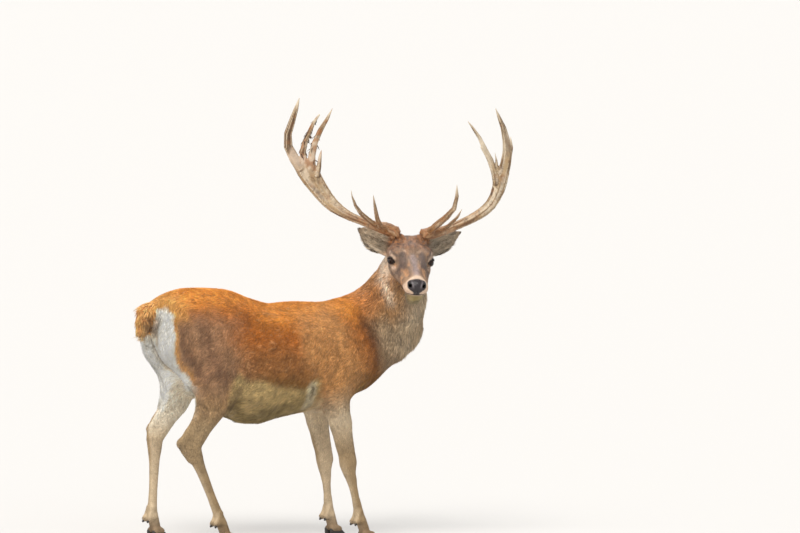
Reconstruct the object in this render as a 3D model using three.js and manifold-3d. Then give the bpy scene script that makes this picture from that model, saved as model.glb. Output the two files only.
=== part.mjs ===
// A life-size standing red deer stag with its head turned to its right, as a still museum model.
// Frame: millimetres, +X towards the chest, +Y to the stag's left, +Z up, floor at Z = 0. The origin
// is first under the middle of the trunk, and at the end moves under the middle of the whole stag.
// The flesh is a soft union of named, tapered masses. Each body part is a closed mesh of rings,
// whose points are found by going outwards from the part's spine to the surface of that union.
import * as THREE from 'three';
import Module from 'manifold-3d';
import { mergeVertices } from 'three/addons/utils/BufferGeometryUtils.js';

const wasm = await Module();
wasm.setup();

// ---------- driving dimensions, mm ----------
const GAP = 0.5; // between neighbouring parts
const SHORTEST_EDGE = 0.05; // that a cut may leave

const HEAD_AT = [637, -168, 1317]; // midway between the eyes
const HEAD_TURN = -117; // heading of the face, degrees from +X
const HEAD_DIP = 29; // of the nose below the eyes, degrees

const EYE_RADIUS = 22;
const EYE_SEAT = [7, 85, 0]; // left eye in the head's frame
const EAR = { width: 126, cup: 30, thickness: 9 };
const HOOF = { length: 98, width: 37, height: 54, cleft: 7 };

const V = (x, y, z) => new THREE.Vector3(x, y, z);
const lerp = (a, b, t) => a + (b - a) * t;
const mirrored = ([x, y, z]) => [x, -y, z];
const rad = (degrees) => (degrees * Math.PI) / 180;

// ---------- the field of masses ----------
// A mass runs from a to b with radii ra and rb, and `wide` is its width over its height.
const mass = (a, b, ra, rb, wide = 1) => ({ a, b, ra, rb, wide });
const bothSides = (list) => list.flatMap((m) => [m, { ...m, a: mirrored(m.a), b: mirrored(m.b) }]);

function outside(m, q) {
  const [ax, ay, az] = m.a;
  const dx = m.b[0] - ax;
  const dy = m.b[1] - ay;
  const dz = m.b[2] - az;
  const long = dx * dx + dy * dy + dz * dz || 1;
  const along = ((q.x - ax) * dx + (q.y - ay) * dy + (q.z - az) * dz) / long;
  const t = Math.min(1, Math.max(0, along));
  const away = Math.hypot(q.x - ax - t * dx, (q.y - ay - t * dy) / m.wide, q.z - az - t * dz);
  return away - lerp(m.ra, m.rb, t);
}

// The soft union, negative inside. Dents are masses that are pressed in.
function field(masses, blend, dents = []) {
  return (q) => {
    let sum = 0;
    for (const m of masses) sum += Math.exp(-Math.min(outside(m, q), 900) / blend);
    let value = -blend * Math.log(sum);
    for (const d of dents) {
      const depth = -outside(d, q);
      value = blend * Math.log(Math.exp(value / blend) + Math.exp(depth / blend));
    }
    return value;
  };
}

// ---------- meshes of rings ----------
// The distance from a point along a direction to where the field turns positive.
function reach(f, from, way, limit) {
  const step = 6;
  const p = V(0, 0, 0);
  const at = (d) => f(p.copy(from).addScaledVector(way, d));
  let near = 0;
  let far = 0;
  while (far < limit && at(far) < 0) {
    near = far;
    far += step;
  }
  if (far >= limit) return limit;
  for (let i = 0; i < 14; i++) {
    const mid = (near + far) / 2;
    if (at(mid) < 0) near = mid;
    else far = mid;
  }
  return Math.max(near, 0.5);
}

// Closes rings of equally many points into a mesh, with one point at each end.
function skinned(rings, first, last) {
  const n = rings[0].length;
  const points = [first, ...rings.flat(), last];
  const at = (r, k) => 1 + r * n + (k % n);
  const index = [];
  for (let k = 0; k < n; k++) {
    index.push(0, at(0, k + 1), at(0, k));
    for (let r = 0; r + 1 < rings.length; r++) {
      index.push(at(r, k), at(r, k + 1), at(r + 1, k));
      index.push(at(r + 1, k), at(r, k + 1), at(r + 1, k + 1));
    }
    index.push(points.length - 1, at(rings.length - 1, k), at(rings.length - 1, k + 1));
  }
  // Faces look outwards whichever way the rings were wound.
  let volume = 0;
  for (let i = 0; i < index.length; i += 3) {
    const [a, b, c] = index.slice(i, i + 3).map((j) => points[j]);
    volume += a.dot(b.clone().cross(c));
  }
  const g = new THREE.BufferGeometry().setFromPoints(points);
  g.setIndex(volume < 0 ? index.reverse() : index);
  return g;
}

const middle = (ring) => ring.reduce((sum, p) => sum.add(p), V(0, 0, 0)).divideScalar(ring.length);

const spineOf = (points) =>
  new THREE.CatmullRomCurve3(points.map((p) => V(...p)), false, 'centripetal');

// The place on a spine where it passes a height.
function atHeight(spine, z) {
  let low = 0;
  let high = 1;
  const falling = spine.getPointAt(0).z > spine.getPointAt(1).z;
  for (let i = 0; i < 30; i++) {
    const mid = (low + high) / 2;
    if (spine.getPointAt(mid).z > z === falling) low = mid;
    else high = mid;
  }
  return (low + high) / 2;
}

// The leans of the rings that close a round end.
const roundOff = (count) =>
  Array.from({ length: count }, (_, i) => Math.sin((Math.PI / 2) * ((i + 1) / (count + 1))));

// Rings between two places of a spine. A round end goes on past the spine, a cut end is flat.
function loft(f, spine, options) {
  const { rings, sides, from = 0, to = 1, up = V(0, 0, 1) } = options;
  const { roundStart = 0, roundEnd = 0, limit = 420 } = options;
  const cut = GAP / 2 / spine.getLength();
  const start = from === 0 ? from : from + cut;
  const end = to === 1 ? to : to - cut;
  const ring = (t, lean) => {
    const centre = spine.getPointAt(t);
    const along = spine.getTangentAt(t);
    const side = up.clone().cross(along).normalize();
    const rise = along.clone().cross(side);
    const flat = Math.sqrt(1 - lean * lean);
    return Array.from({ length: sides }, (_, k) => {
      const turn = (2 * Math.PI * k) / sides;
      const way = side.clone().multiplyScalar(Math.cos(turn) * flat);
      way.addScaledVector(rise, Math.sin(turn) * flat).addScaledVector(along, lean);
      return centre.clone().addScaledVector(way, reach(f, centre, way, limit));
    });
  };
  const tip = (t, sign) => {
    const centre = spine.getPointAt(t);
    const way = spine.getTangentAt(t).multiplyScalar(sign);
    return centre.clone().addScaledVector(way, reach(f, centre, way, limit));
  };
  const loops = [];
  loops.push(...roundOff(roundStart).reverse().map((lean) => ring(start, -lean)));
  for (let i = 0; i <= rings; i++) loops.push(ring(lerp(start, end, i / rings), 0));
  loops.push(...roundOff(roundEnd).map((lean) => ring(end, lean)));
  const first = roundStart ? tip(start, -1) : spine.getPointAt(start);
  const last = roundEnd ? tip(end, 1) : spine.getPointAt(end);
  return skinned(loops, first, last);
}

// ---------- joins and cuts ----------
function solid(geometry) {
  const bare = geometry.clone();
  bare.deleteAttribute('normal');
  bare.deleteAttribute('uv');
  const merged = mergeVertices(bare, 1e-3);
  const vertProperties = new Float32Array(merged.attributes.position.array);
  const triVerts = new Uint32Array(merged.index.array);
  return new wasm.Manifold(new wasm.Mesh({ numProp: 3, vertProperties, triVerts }));
}

// The largest body of a solid, as a geometry.
function geometryOf(made) {
  const [body] = made.decompose().sort((a, b) => b.volume() - a.volume());
  const { vertProperties, triVerts, numProp } = body.getMesh();
  const at = new Float32Array((vertProperties.length / numProp) * 3);
  for (let i = 0; i < at.length / 3; i++) {
    at.set(vertProperties.subarray(i * numProp, i * numProp + 3), i * 3);
  }
  const cut = new THREE.BufferGeometry();
  cut.setAttribute('position', new THREE.BufferAttribute(at, 3));
  cut.setIndex(new THREE.BufferAttribute(new Uint32Array(triVerts), 1));
  const g = mergeVertices(cut, SHORTEST_EDGE);
  const kept = [];
  for (let i = 0; i < g.index.count; i += 3) {
    const [a, b, c] = [0, 1, 2].map((k) => g.index.getX(i + k));
    if (a !== b && b !== c && c !== a) kept.push(a, b, c);
  }
  g.setIndex(kept);
  return g;
}

// A copy that is bigger all round by the gap. A corner moves further, as its faces lean away.
function grown(geometry) {
  const bare = new THREE.BufferGeometry();
  bare.setAttribute('position', geometry.getAttribute('position').clone());
  bare.setIndex(geometry.getIndex());
  const g = mergeVertices(bare, 1e-3);
  g.computeVertexNormals();
  const { position, normal } = g.attributes;
  const corner = (attribute, i) => V(attribute.getX(i), attribute.getY(i), attribute.getZ(i));
  const lean = new Array(position.count).fill(1);
  for (let i = 0; i < g.index.count; i += 3) {
    const [a, b, c] = [0, 1, 2].map((k) => corner(position, g.index.getX(i + k)));
    const face = b.sub(a).cross(c.sub(a)).normalize();
    for (const k of [0, 1, 2]) {
      const v = g.index.getX(i + k);
      lean[v] = Math.min(lean[v], face.dot(corner(normal, v)));
    }
  }
  for (let i = 0; i < position.count; i++) {
    const p = corner(position, i).addScaledVector(corner(normal, i), GAP / Math.max(lean[i], 0.6));
    position.setXYZ(i, p.x, p.y, p.z);
  }
  return g;
}

function without(geometry, ...cutters) {
  let left = solid(geometry);
  for (const cutter of cutters) left = left.subtract(solid(grown(cutter))).subtract(solid(cutter));
  return geometryOf(left);
}
const within = (geometry, bounds) => geometryOf(solid(geometry).intersect(solid(bounds)));

// ---------- materials ----------
const finish = (color, roughness) => new THREE.MeshStandardMaterial({ color, roughness });
const COAT = finish(0x9a5f34, 0.9);
const LEG_COAT = finish(0x8d725c, 0.88);
const FACE_COAT = finish(0x86705f, 0.86);
const PALE_COAT = finish(0xddd3bd, 0.9);
const TAIL_COAT = finish(0xc07a38, 0.9);
const HOOF_HORN = finish(0x2a2521, 0.5);
const ANTLER_BONE = finish(0xb09a78, 0.7);
const EYE_GLOSS = finish(0x150e0a, 0.08);

// Adds a node, cut clear of the nodes it meets.
const stag = new THREE.Group();
const made = {};
function add(name, geometry, material, meets = []) {
  made[name] = meets.length ? without(geometry, ...meets.map((other) => made[other])) : geometry;
  const mesh = new THREE.Mesh(made[name].clone(), material);
  mesh.name = name;
  stag.add(mesh);
}

// ---------- trunk and neck ----------
const TRUNK = [
  mass([330, 0, 862], [120, 0, 846], 222, 248, 0.7), // ribs behind the shoulders
  mass([120, 0, 846], [-110, 0, 816], 248, 260, 0.79), // barrel
  mass([-110, 0, 812], [-330, 0, 905], 258, 196, 0.8), // belly and flank
  mass([-120, 0, 1016], [-300, 0, 1000], 110, 165, 0.9), // loin
  mass([-300, 0, 1000], [-500, 0, 1005], 165, 158, 0.9), // pelvis
  mass([-500, 0, 1020], [-600, 0, 1040], 145, 94, 0.9), // root of the tail
  mass([400, 0, 1101], [30, 0, 1084], 42, 46, 0.8), // withers
  mass([425, 0, 836], [500, 0, 800], 160, 104, 0.85), // breast
  mass([-420, 0, 860], [-540, 0, 900], 70, 76, 1.2), // floor of the pelvis
  mass([-40, 0, 588], [-175, 0, 570], 34, 30), // sheath
];
const SHOULDER = bothSides([
  mass([330, 72, 1000], [424, 98, 846], 70, 90, 0.78), // shoulder blade
  mass([424, 98, 846], [306, 104, 722], 90, 80, 0.75), // upper arm
]);
const HAUNCH = bothSides([
  mass([-405, 88, 1000], [-378, 102, 880], 126, 126, 0.7), // hip
  mass([-378, 102, 880], [-312, 112, 784], 126, 94, 0.68), // thigh
  mass([-548, 74, 1012], [-560, 80, 915], 98, 98, 0.78), // buttock
  mass([-560, 80, 915], [-490, 98, 772], 98, 78, 0.76), // back of the thigh
]);
const NECK = [
  mass([430, 0, 940], [560, -12, 1030], 190, 165, 0.72), // root of the neck
  mass([560, -12, 1030], [664, -44, 1230], 162, 110, 0.78), // neck
  mass([664, -44, 1230], [692, -46, 1320], 108, 80, 0.85), // nape
  mass([694, -32, 990], [728, -60, 1150], 112, 88, 0.85), // mane of the throat
  mass([560, -6, 860], [694, -32, 990], 96, 104, 0.9), // fringe of the mane
];
const bodyField = field([...TRUNK, ...SHOULDER, ...HAUNCH, ...NECK], 20);
const BODY_SPINE = spineOf([
  [-520, 0, 960], [-420, 0, 965], [-250, 0, 900], [0, 0, 835], [220, 0, 850],
  [400, 0, 895], [530, -8, 985], [620, -26, 1100], [664, -44, 1210], [692, -48, 1310],
]);
const NECK_STARTS = 0.7;

// The room of a leg: its flesh belongs to the leg inside it, and to the trunk outside.
const HIND_ROOM = [
  mass([-425, 158, 965], [-390, 152, 850], 168, 178, 0.68),
  mass([-390, 152, 850], [-370, 145, 760], 178, 184, 0.68),
  mass([-370, 142, 760], [-490, 125, 520], 180, 150, 0.68),
  mass([-490, 125, 520], [-560, 125, 300], 150, 180, 0.68),
];
const FORE_ROOM = [
  mass([326, 124, 700], [338, 120, 560], 104, 112, 0.8),
  mass([338, 120, 560], [400, 110, 300], 112, 120, 0.8),
];
const toSide = ([x, y, z], side) => [x, y * side, z];
const onSide = (list, side) => list.map((m) => ({ ...m, a: toSide(m.a, side), b: toSide(m.b, side) }));
function room(masses, side) {
  const list = onSide(masses, side);
  const spine = spineOf([list[0].a, ...list.map((m) => m.b)]);
  return loft(field(list, 4), spine, { rings: 4, sides: 14, roundStart: 2, up: V(1, 0, 0) });
}
const ROOMS = {
  foreleg_right: room(FORE_ROOM, -1),
  foreleg_left: room(FORE_ROOM, 1),
  hindleg_right: room(HIND_ROOM, -1),
  hindleg_left: room(HIND_ROOM, 1),
};
const bodyPart = (options) => loft(bodyField, BODY_SPINE, { limit: 330, ...options });
const wholeTrunk = bodyPart({ rings: 18, sides: 22, to: NECK_STARTS, roundStart: 3 });
add('trunk', without(wholeTrunk, ...Object.values(ROOMS)), COAT);

// ---------- head ----------
const headFrame = new THREE.Matrix4()
  .makeTranslation(...HEAD_AT)
  .multiply(new THREE.Matrix4().makeRotationZ(rad(HEAD_TURN)))
  .multiply(new THREE.Matrix4().makeRotationY(rad(HEAD_DIP)));
const SKULL = [
  mass([-120, 0, -8], [-40, 0, 2], 66, 64, 1.15), // braincase
  mass([-20, 0, 14], [200, 0, -6], 44, 30, 1.1), // forehead and bridge of the nose
  mass([178, 0, -14], [214, 0, -14], 37, 34, 1.38), // muzzle
  mass([-30, 0, -60], [180, 0, -52], 42, 30, 1), // lower jaw
  mass([186, 0, -66], [204, 0, -66], 29, 25, 1.25), // chin
  mass([-150, 0, -45], [-60, 0, -50], 72, 64, 1), // gullet
  ...bothSides([
    mass([-48, 72, 18], [4, 68, 27], 37, 29), // brow
    mass([6, 66, 26], [80, 34, 10], 30, 24), // brow running out towards the nose
    mass([-64, 66, -16], [22, 58, -36], 43, 36), // cheekbone
    mass([22, 58, -36], [130, 38, -30], 36, 30), // cheek
    mass([-70, 48, -58], [70, 40, -48], 42, 36), // jaw muscle
    mass([130, 26, -28], [204, 28, -28], 25, 27), // lips
    mass([-100, 48, 40], [-112, 64, 74], 32, 24), // pedicle
  ]),
];
const EYE_DENTS = bothSides([mass([16, 104, 0], [60, 86, -4], 22, 15)]);
const headField = field(SKULL, 8, EYE_DENTS);
const HEAD_SPINE = spineOf([[-140, 0, -14], [-60, 0, -12], [60, 0, -14], [150, 0, -20], [200, 0, -24]]);
const MUZZLE_STARTS = 0.76;
const headPart = (options) =>
  loft(headField, HEAD_SPINE, { sides: 22, limit: 190, ...options }).applyMatrix4(headFrame);

const eyeAt = (side) => V(EYE_SEAT[0], EYE_SEAT[1] * side, EYE_SEAT[2]).applyMatrix4(headFrame);
const eyeball = (side) => new THREE.IcosahedronGeometry(EYE_RADIUS, 1).translate(...eyeAt(side).toArray());
add('eye_left', eyeball(1), EYE_GLOSS);
add('eye_right', eyeball(-1), EYE_GLOSS);
const skull = headPart({ rings: 13, roundStart: 2, to: MUZZLE_STARTS });
add('head', skull, FACE_COAT, ['eye_left', 'eye_right']);
add('muzzle', headPart({ rings: 3, from: MUZZLE_STARTS, roundEnd: 3 }), FACE_COAT);

// ---------- ears ----------
// An ear is a leaf bent into a cup. Its points are in a frame above the level head:
// forwards, to the left and upwards from the point between the eyes.
const levelFrame = new THREE.Matrix4()
  .makeTranslation(...HEAD_AT)
  .multiply(new THREE.Matrix4().makeRotationZ(rad(HEAD_TURN)));
const EAR_OUTLINE = [0.4, 0.46, 0.66, 0.86, 0.97, 1, 0.9, 0.68, 0.4, 0.14]; // half widths, root to tip

function ear(root, tip, opening) {
  const across = 4;
  const axis = V(...tip).sub(V(...root));
  const along = axis.clone().normalize();
  const open = V(...opening).addScaledVector(along, -V(...opening).dot(along)).normalize();
  const side = along.clone().cross(open);
  const rings = EAR_OUTLINE.map((part, i) => {
    const t = i / (EAR_OUTLINE.length - 1);
    const half = (EAR.width / 2) * part;
    const cup = EAR.cup * lerp(1.1, 0.25, t);
    const thick = EAR.thickness * lerp(2.2, 0.8, t);
    const centre = V(...root).addScaledVector(axis, t);
    const point = (s, back) => {
      const p = centre.clone().addScaledVector(side, half * s).addScaledVector(open, -back);
      return p.applyMatrix4(levelFrame);
    };
    const ring = [];
    for (let k = 0; k <= across; k++) {
      const s = lerp(-1, 1, k / across);
      ring.push(point(s, cup * (1 - s * s)));
    }
    for (let k = across; k >= 0; k--) {
      const s = lerp(-1, 1, k / across) * 0.98;
      ring.push(point(s, cup * (1 - s * s) + 3 + thick * Math.sqrt(1 - s * s)));
    }
    return ring;
  });
  return skinned(rings, middle(rings[0]), middle(rings[rings.length - 1]));
}
add('neck', bodyPart({ rings: 8, sides: 20, from: NECK_STARTS, roundEnd: 1 }), COAT, ['head']);
const earRight = ear([-90, -64, 34], [-182, -232, 132], [0.9, -0.3, -0.1]);
const earLeft = ear([-92, 62, 28], [-192, 264, 132], [0.85, 0.2, -0.4]);
add('ear_right', earRight, FACE_COAT, ['head', 'neck']);
add('ear_left', earLeft, FACE_COAT, ['head', 'neck']);

// ---------- legs ----------
// Joints as [forwards, out from the middle, up]. A chain is a row of masses through stations.
const FORE_RIGHT = {
  elbow: [292, 104, 705],
  knee: [386, 105, 372],
  fetlock: [461, 116, 120],
  foot: [512, 122, 0],
};
const FORE_LEFT = {
  elbow: [304, 104, 705],
  knee: [397, 104, 368],
  fetlock: [446, 116, 120],
  foot: [492, 122, 0],
};
const HIND_RIGHT = {
  stifle: [-300, 114, 765],
  hock: [-486, 116, 448],
  heel: [-546, 116, 496],
  fetlock: [-322, 125, 118],
  foot: [-268, 128, 0],
};
const HIND_LEFT = {
  stifle: [-344, 112, 774],
  hock: [-540, 114, 470],
  heel: [-566, 112, 530],
  fetlock: [-531, 124, 118],
  foot: [-492, 127, 0],
};
const between = (a, b, t) => a.map((value, i) => lerp(value, b[i], t));
const moved = (p, dx, dy, dz) => [p[0] + dx, p[1] + dy, p[2] + dz];
function chain(stations, wide) {
  return stations.slice(1).map(([p, r], i) => mass(stations[i][0], p, stations[i][1], r, wide));
}

function limb(name, side, masses, stations, cuts) {
  const own = field(onSide(masses, side), 6);
  const blend = 10;
  const share = (value) => Math.exp(-Math.min(value, 700) / blend);
  const flesh = (q) => -blend * Math.log(share(own(q)) + share(bodyField(q)));
  const spine = spineOf(stations.map((p) => [p[0], p[1] * side, p[2]]));
  const up = V(1, 0, 0);
  const [knee, ankle] = cuts.map((z) => atHeight(spine, z));
  const upper = loft(flesh, spine, { rings: 10, sides: 12, to: knee, roundStart: 1, limit: 300, up });
  add(`${name}_upper`, within(upper, ROOMS[name]), LEG_COAT);
  add(`${name}_cannon`, loft(own, spine, { rings: 6, sides: 9, from: knee, to: ankle, up }), LEG_COAT);
  return loft(own, spine, { rings: 2, sides: 8, from: ankle, roundEnd: 1, up });
}

function foreleg(name, side, { elbow, knee, fetlock, foot }) {
  const coronet = moved(between(fetlock, foot, 0.55), 2, 0, 0);
  const down = between(elbow, knee, 0.45);
  const shin = between(knee, fetlock, 0.3);
  const masses = [
    ...chain([[moved(elbow, 16, 0, 60), 80], [moved(elbow, 6, 0, -40), 74], [down, 57]], 0.74),
    ...chain([[down, 58], [between(elbow, knee, 0.78), 45], [moved(knee, 2, 0, 12), 42]], 0.84),
    ...chain([[moved(knee, 2, 0, 12), 42], [moved(knee, 0, 0, -22), 37], [shin, 26]], 0.9),
    ...chain([[shin, 26], [between(knee, fetlock, 0.78), 22], [fetlock, 28]], 0.82),
    ...chain([[fetlock, 28], [between(fetlock, coronet, 0.55), 24], [coronet, 27]], 1.1),
  ];
  const half = (a, b) => between(a, b, 0.5);
  const stations = [
    moved(elbow, 30, 0, 70), elbow, half(elbow, knee), knee, half(knee, fetlock), fetlock, coronet,
  ];
  return limb(name, side, masses, stations, [knee[2] - 52, fetlock[2] + 28]);
}

function hindleg(name, side, { stifle, hock, heel, fetlock, foot }) {
  const coronet = moved(between(fetlock, foot, 0.55), 2, 0, 0);
  const calf = between(stifle, hock, 0.45);
  const masses = [
    ...chain([[[-478, 98, 776], 76], [moved(calf, -46, -4, 24), 60]], 0.72), // back of the thigh
    ...chain([[moved(stifle, -10, 0, 14), 96], [calf, 66], [between(stifle, hock, 0.85), 42]], 0.72), // gaskin
    ...chain([[moved(calf, -50, -2, 10), 46], [between(calf, heel, 0.7), 28], [heel, 22]], 0.8), // Achilles tendon
    ...chain([[heel, 23], [moved(hock, -22, 0, -30), 26]], 1), // point of the hock
    ...chain([[between(stifle, hock, 0.85), 42], [hock, 37], [between(hock, fetlock, 0.2), 31]], 0.86),
    ...chain([[between(hock, fetlock, 0.2), 31], [between(hock, fetlock, 0.75), 23], [fetlock, 28]], 0.82),
    ...chain([[fetlock, 28], [between(fetlock, coronet, 0.55), 24], [coronet, 27]], 1.1),
  ];
  const stations = [
    [-460, 86, 985], [-450, 92, 880], between([-440, 100, 800], stifle, 0.3),
    moved(calf, -24, 0, 0), moved(between(stifle, hock, 0.8), -16, 0, 0), moved(hock, -10, 0, 0),
    between(hock, fetlock, 0.5), fetlock, coronet,
  ];
  return limb(name, side, masses, stations, [hock[2] - 70, fetlock[2] + 28]);
}

// ---------- hooves ----------
const HOOF_RINGS = [[0, 1, 0], [0.5, 0.95, -5], [1, 0.78, -16]]; // height, size, shift back

// One toe in its own frame: forwards, outwards from the cleft, up.
function toe(out) {
  const corners = 8;
  const rings = HOOF_RINGS.map(([up, size, back]) =>
    Array.from({ length: corners }, (_, k) => {
      const turn = (2 * Math.PI * k) / corners;
      const x = Math.cos(turn) * (HOOF.length / 2) * size + back;
      const narrowing = 1 - 0.5 * Math.max(0, Math.cos(turn)) ** 2;
      const half = (HOOF.width / 2) * narrowing * lerp(1, 0.92, up);
      const z = up * HOOF.height * lerp(1, 0.78, (1 - Math.cos(turn)) / 2);
      return V(x, out * (HOOF.cleft / 2 + HOOF.width / 2 + Math.sin(turn) * half), z);
    }),
  );
  return skinned(rings, middle(rings[0]), middle(rings[rings.length - 1]));
}

function foot(name, side, pastern, { fetlock, foot: at }) {
  const horn = [];
  for (const out of [1, -1]) {
    const which = out === side ? 'outer' : 'inner';
    const root = [fetlock[0] - 26, fetlock[1] * side + out * 17, fetlock[2] - 22];
    const tip = moved(root, -10, out * 3, -16);
    const options = { rings: 1, sides: 5, roundEnd: 1, up: V(1, 0, 0) };
    const claw = loft(field([mass(root, tip, 12, 6)], 3), spineOf([root, tip]), options);
    add(`${name}_hoof_${which}`, toe(out).translate(at[0] + 6, at[1] * side, 0), HOOF_HORN);
    add(`${name}_dewclaw_${which}`, claw, HOOF_HORN);
    horn.push(`${name}_hoof_${which}`, `${name}_dewclaw_${which}`);
  }
  add(`${name}_pastern`, pastern, LEG_COAT, horn);
}
foot('foreleg_right', -1, foreleg('foreleg_right', -1, FORE_RIGHT), FORE_RIGHT);
foot('foreleg_left', 1, foreleg('foreleg_left', 1, FORE_LEFT), FORE_LEFT);
foot('hindleg_right', -1, hindleg('hindleg_right', -1, HIND_RIGHT), HIND_RIGHT);
foot('hindleg_left', 1, hindleg('hindleg_left', 1, HIND_LEFT), HIND_LEFT);

// ---------- tail and scrotum ----------
const TAIL = [[[-610, 0, 1090], 46], [[-690, 0, 1062], 40], [[-716, -2, 1000], 36], [[-716, -4, 930], 14]];
const TAIL_SPINE = spineOf([[-620, 0, 1088], [-685, 0, 1060], [-714, -2, 1000], [-716, -4, 935]]);
const tail = loft(field(chain(TAIL, 1.05), 8), TAIL_SPINE, { rings: 5, sides: 10, roundEnd: 2, up: V(1, 0, 0.2) });
add('tail', tail, TAIL_COAT, ['trunk', 'hindleg_left_upper', 'hindleg_right_upper']);
const POUCH = [[-424, 2, 760], [-432, 0, 700]];
const pouchRings = { rings: 2, sides: 10, roundStart: 1, roundEnd: 2, up: V(1, 0, 0) };
const pouch = loft(field([mass(...POUCH, 26, 23)], 4), spineOf(POUCH), pouchRings);
add('scrotum', pouch, PALE_COAT, ['trunk', 'hindleg_left_upper', 'hindleg_right_upper']);

// ---------- antlers ----------
// Each branch runs through points above the level head, with [across, through] half thicknesses
// at its root and tip. The flat of a branch faces along the head's heading.
function branch(path, halves, { rings, sides }) {
  const spine = spineOf(path);
  const forwards = V(1, 0, 0);
  const at = (list, t) => {
    const x = t * (list.length - 1);
    const i = Math.min(list.length - 2, Math.floor(x));
    return lerp(list[i], list[i + 1], x - i);
  };
  const loops = [];
  for (let i = 0; i <= rings; i++) {
    const t = i / rings;
    const along = spine.getTangentAt(t);
    const across = along.clone().cross(forwards).normalize();
    const through = across.clone().cross(along).normalize();
    const centre = spine.getPointAt(t);
    const wide = at(halves.map((h) => h[0]), t);
    const deep = at(halves.map((h) => h[1]), t);
    loops.push(Array.from({ length: sides }, (_, k) => {
      const turn = (2 * Math.PI * k) / sides;
      const p = centre.clone().addScaledVector(across, Math.cos(turn) * wide);
      return p.addScaledVector(through, Math.sin(turn) * deep).applyMatrix4(levelFrame);
    }));
  }
  const end = spine.getPointAt(1).addScaledVector(spine.getTangentAt(1), 1).applyMatrix4(levelFrame);
  return skinned(loops, spine.getPointAt(0).applyMatrix4(levelFrame), end);
}
const evenly = (...halves) => halves.map((h) => [h, h]);

const BRANCHES = {
  right_beam: {
    path: [
      [-62, -54, 92], [-64, -78, 132], [-74, -152, 150], [-108, -246, 178], [-132, -312, 206],
      [-152, -374, 250], [-158, -416, 298], [-154, -450, 342], [-144, -486, 390], [-132, -512, 432],
    ],
    halves: [
      [24, 24], [34, 32], [22, 20], [19, 18], [21, 18], [30, 18], [38, 17], [44, 16], [52, 16], [50, 14],
    ],
  },
  left_beam: {
    path: [
      [-62, 54, 88], [-64, 72, 126], [-74, 136, 138], [-94, 190, 156], [-114, 256, 186],
      [-134, 322, 220], [-150, 378, 264], [-156, 410, 320], [-150, 424, 378], [-140, 426, 424],
    ],
    halves: [
      [24, 24], [34, 32], [22, 20], [20, 19], [21, 19], [23, 20], [26, 20], [28, 19], [34, 18], [38, 15],
    ],
  },
  right_brow: {
    path: [
      [-58, -104, 144], [-18, -148, 156], [22, -168, 186], [76, -188, 240], [118, -204, 290],
      [142, -214, 324],
    ],
    halves: evenly(14, 13, 11, 9, 6, 2),
  },
  right_bez: {
    path: [
      [-64, -130, 150], [-34, -164, 156], [2, -210, 184], [42, -254, 218], [78, -286, 258],
      [102, -306, 302], [118, -316, 346],
    ],
    halves: evenly(14, 14, 13, 11, 8, 5, 2),
  },
  right_outer: {
    path: [
      [-136, -516, 396], [-128, -548, 440], [-112, -584, 496], [-92, -594, 550], [-68, -584, 604],
      [-44, -570, 664], [-14, -556, 738],
    ],
    halves: [[26, 15], [26, 15], [23, 14], [20, 13], [17, 12], [12, 10], [3, 3]],
  },
  right_middle: {
    path: [
      [-134, -504, 428], [-134, -514, 472], [-134, -508, 516], [-128, -488, 572], [-118, -470, 622],
      [-108, -446, 660],
    ],
    halves: evenly(17, 16, 14, 12, 9, 5),
  },
  right_inner: {
    path: [
      [-140, -470, 400], [-122, -472, 456], [-108, -468, 502], [-82, -450, 570], [-52, -416, 644],
      [-28, -394, 702],
    ],
    halves: [[22, 14], [18, 14], [15, 13], [13, 12], [9, 9], [2, 2]],
  },
  right_small: {
    path: [[-146, -438, 366], [-128, -434, 422], [-112, -434, 462], [-98, -430, 504]],
    halves: evenly(13, 12, 9, 2),
  },
  left_brow: {
    path: [
      [-56, 84, 132], [-8, 114, 172], [52, 160, 226], [98, 182, 270], [128, 182, 320],
      [146, 176, 382],
    ],
    halves: evenly(17, 17, 15, 13, 10, 2),
  },
  left_bez: {
    path: [[-74, 140, 140], [-24, 178, 176], [22, 210, 222], [62, 226, 272]],
    halves: evenly(11, 10, 7, 2),
  },
  left_outer: {
    path: [
      [-140, 432, 410], [-124, 444, 488], [-108, 444, 540], [-90, 430, 590], [-68, 408, 650],
      [-48, 382, 696], [-28, 360, 738],
    ],
    halves: [[30, 16], [27, 15], [25, 15], [19, 14], [14, 12], [9, 8], [2, 2]],
  },
  left_back: {
    path: [[-132, 456, 478], [-132, 466, 550], [-128, 456, 612]],
    halves: evenly(12, 9, 2),
  },
  left_inner: {
    path: [
      [-148, 404, 366], [-132, 390, 426], [-118, 368, 480], [-98, 338, 528], [-76, 304, 586],
      [-56, 266, 632], [-34, 226, 676],
    ],
    halves: [[14, 13], [15, 13], [16, 13], [13, 12], [10, 10], [7, 7], [2, 2]],
  },
  left_side: {
    path: [[-110, 356, 490], [-92, 328, 524], [-78, 304, 550]],
    halves: evenly(8, 6, 2),
  },
  left_fork: {
    path: [[-136, 410, 424], [-118, 396, 482], [-102, 380, 536]],
    halves: evenly(8, 6, 2),
  },
};
const MEETS = {
  bez: ['brow'],
  middle: ['outer'],
  back: ['outer'],
  side: ['inner'],
  fork: ['inner', 'outer'],
  small: ['inner'],
};
for (const [name, { path, halves }] of Object.entries(BRANCHES)) {
  const [side, kind] = name.split('_');
  const options = kind === 'beam' ? { rings: 14, sides: 8 } : { rings: path.length - 1, sides: 6 };
  const beside = kind === 'beam' ? [] : ['beam', ...(MEETS[kind] ?? [])];
  const others = beside.map((other) => `antler_${side}_${other}`).filter((other) => made[other]);
  const meets = kind === 'beam' ? ['head', `ear_${side}`] : others;
  add(`antler_${name}`, branch(path, halves, options), ANTLER_BONE, meets);
}

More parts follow.
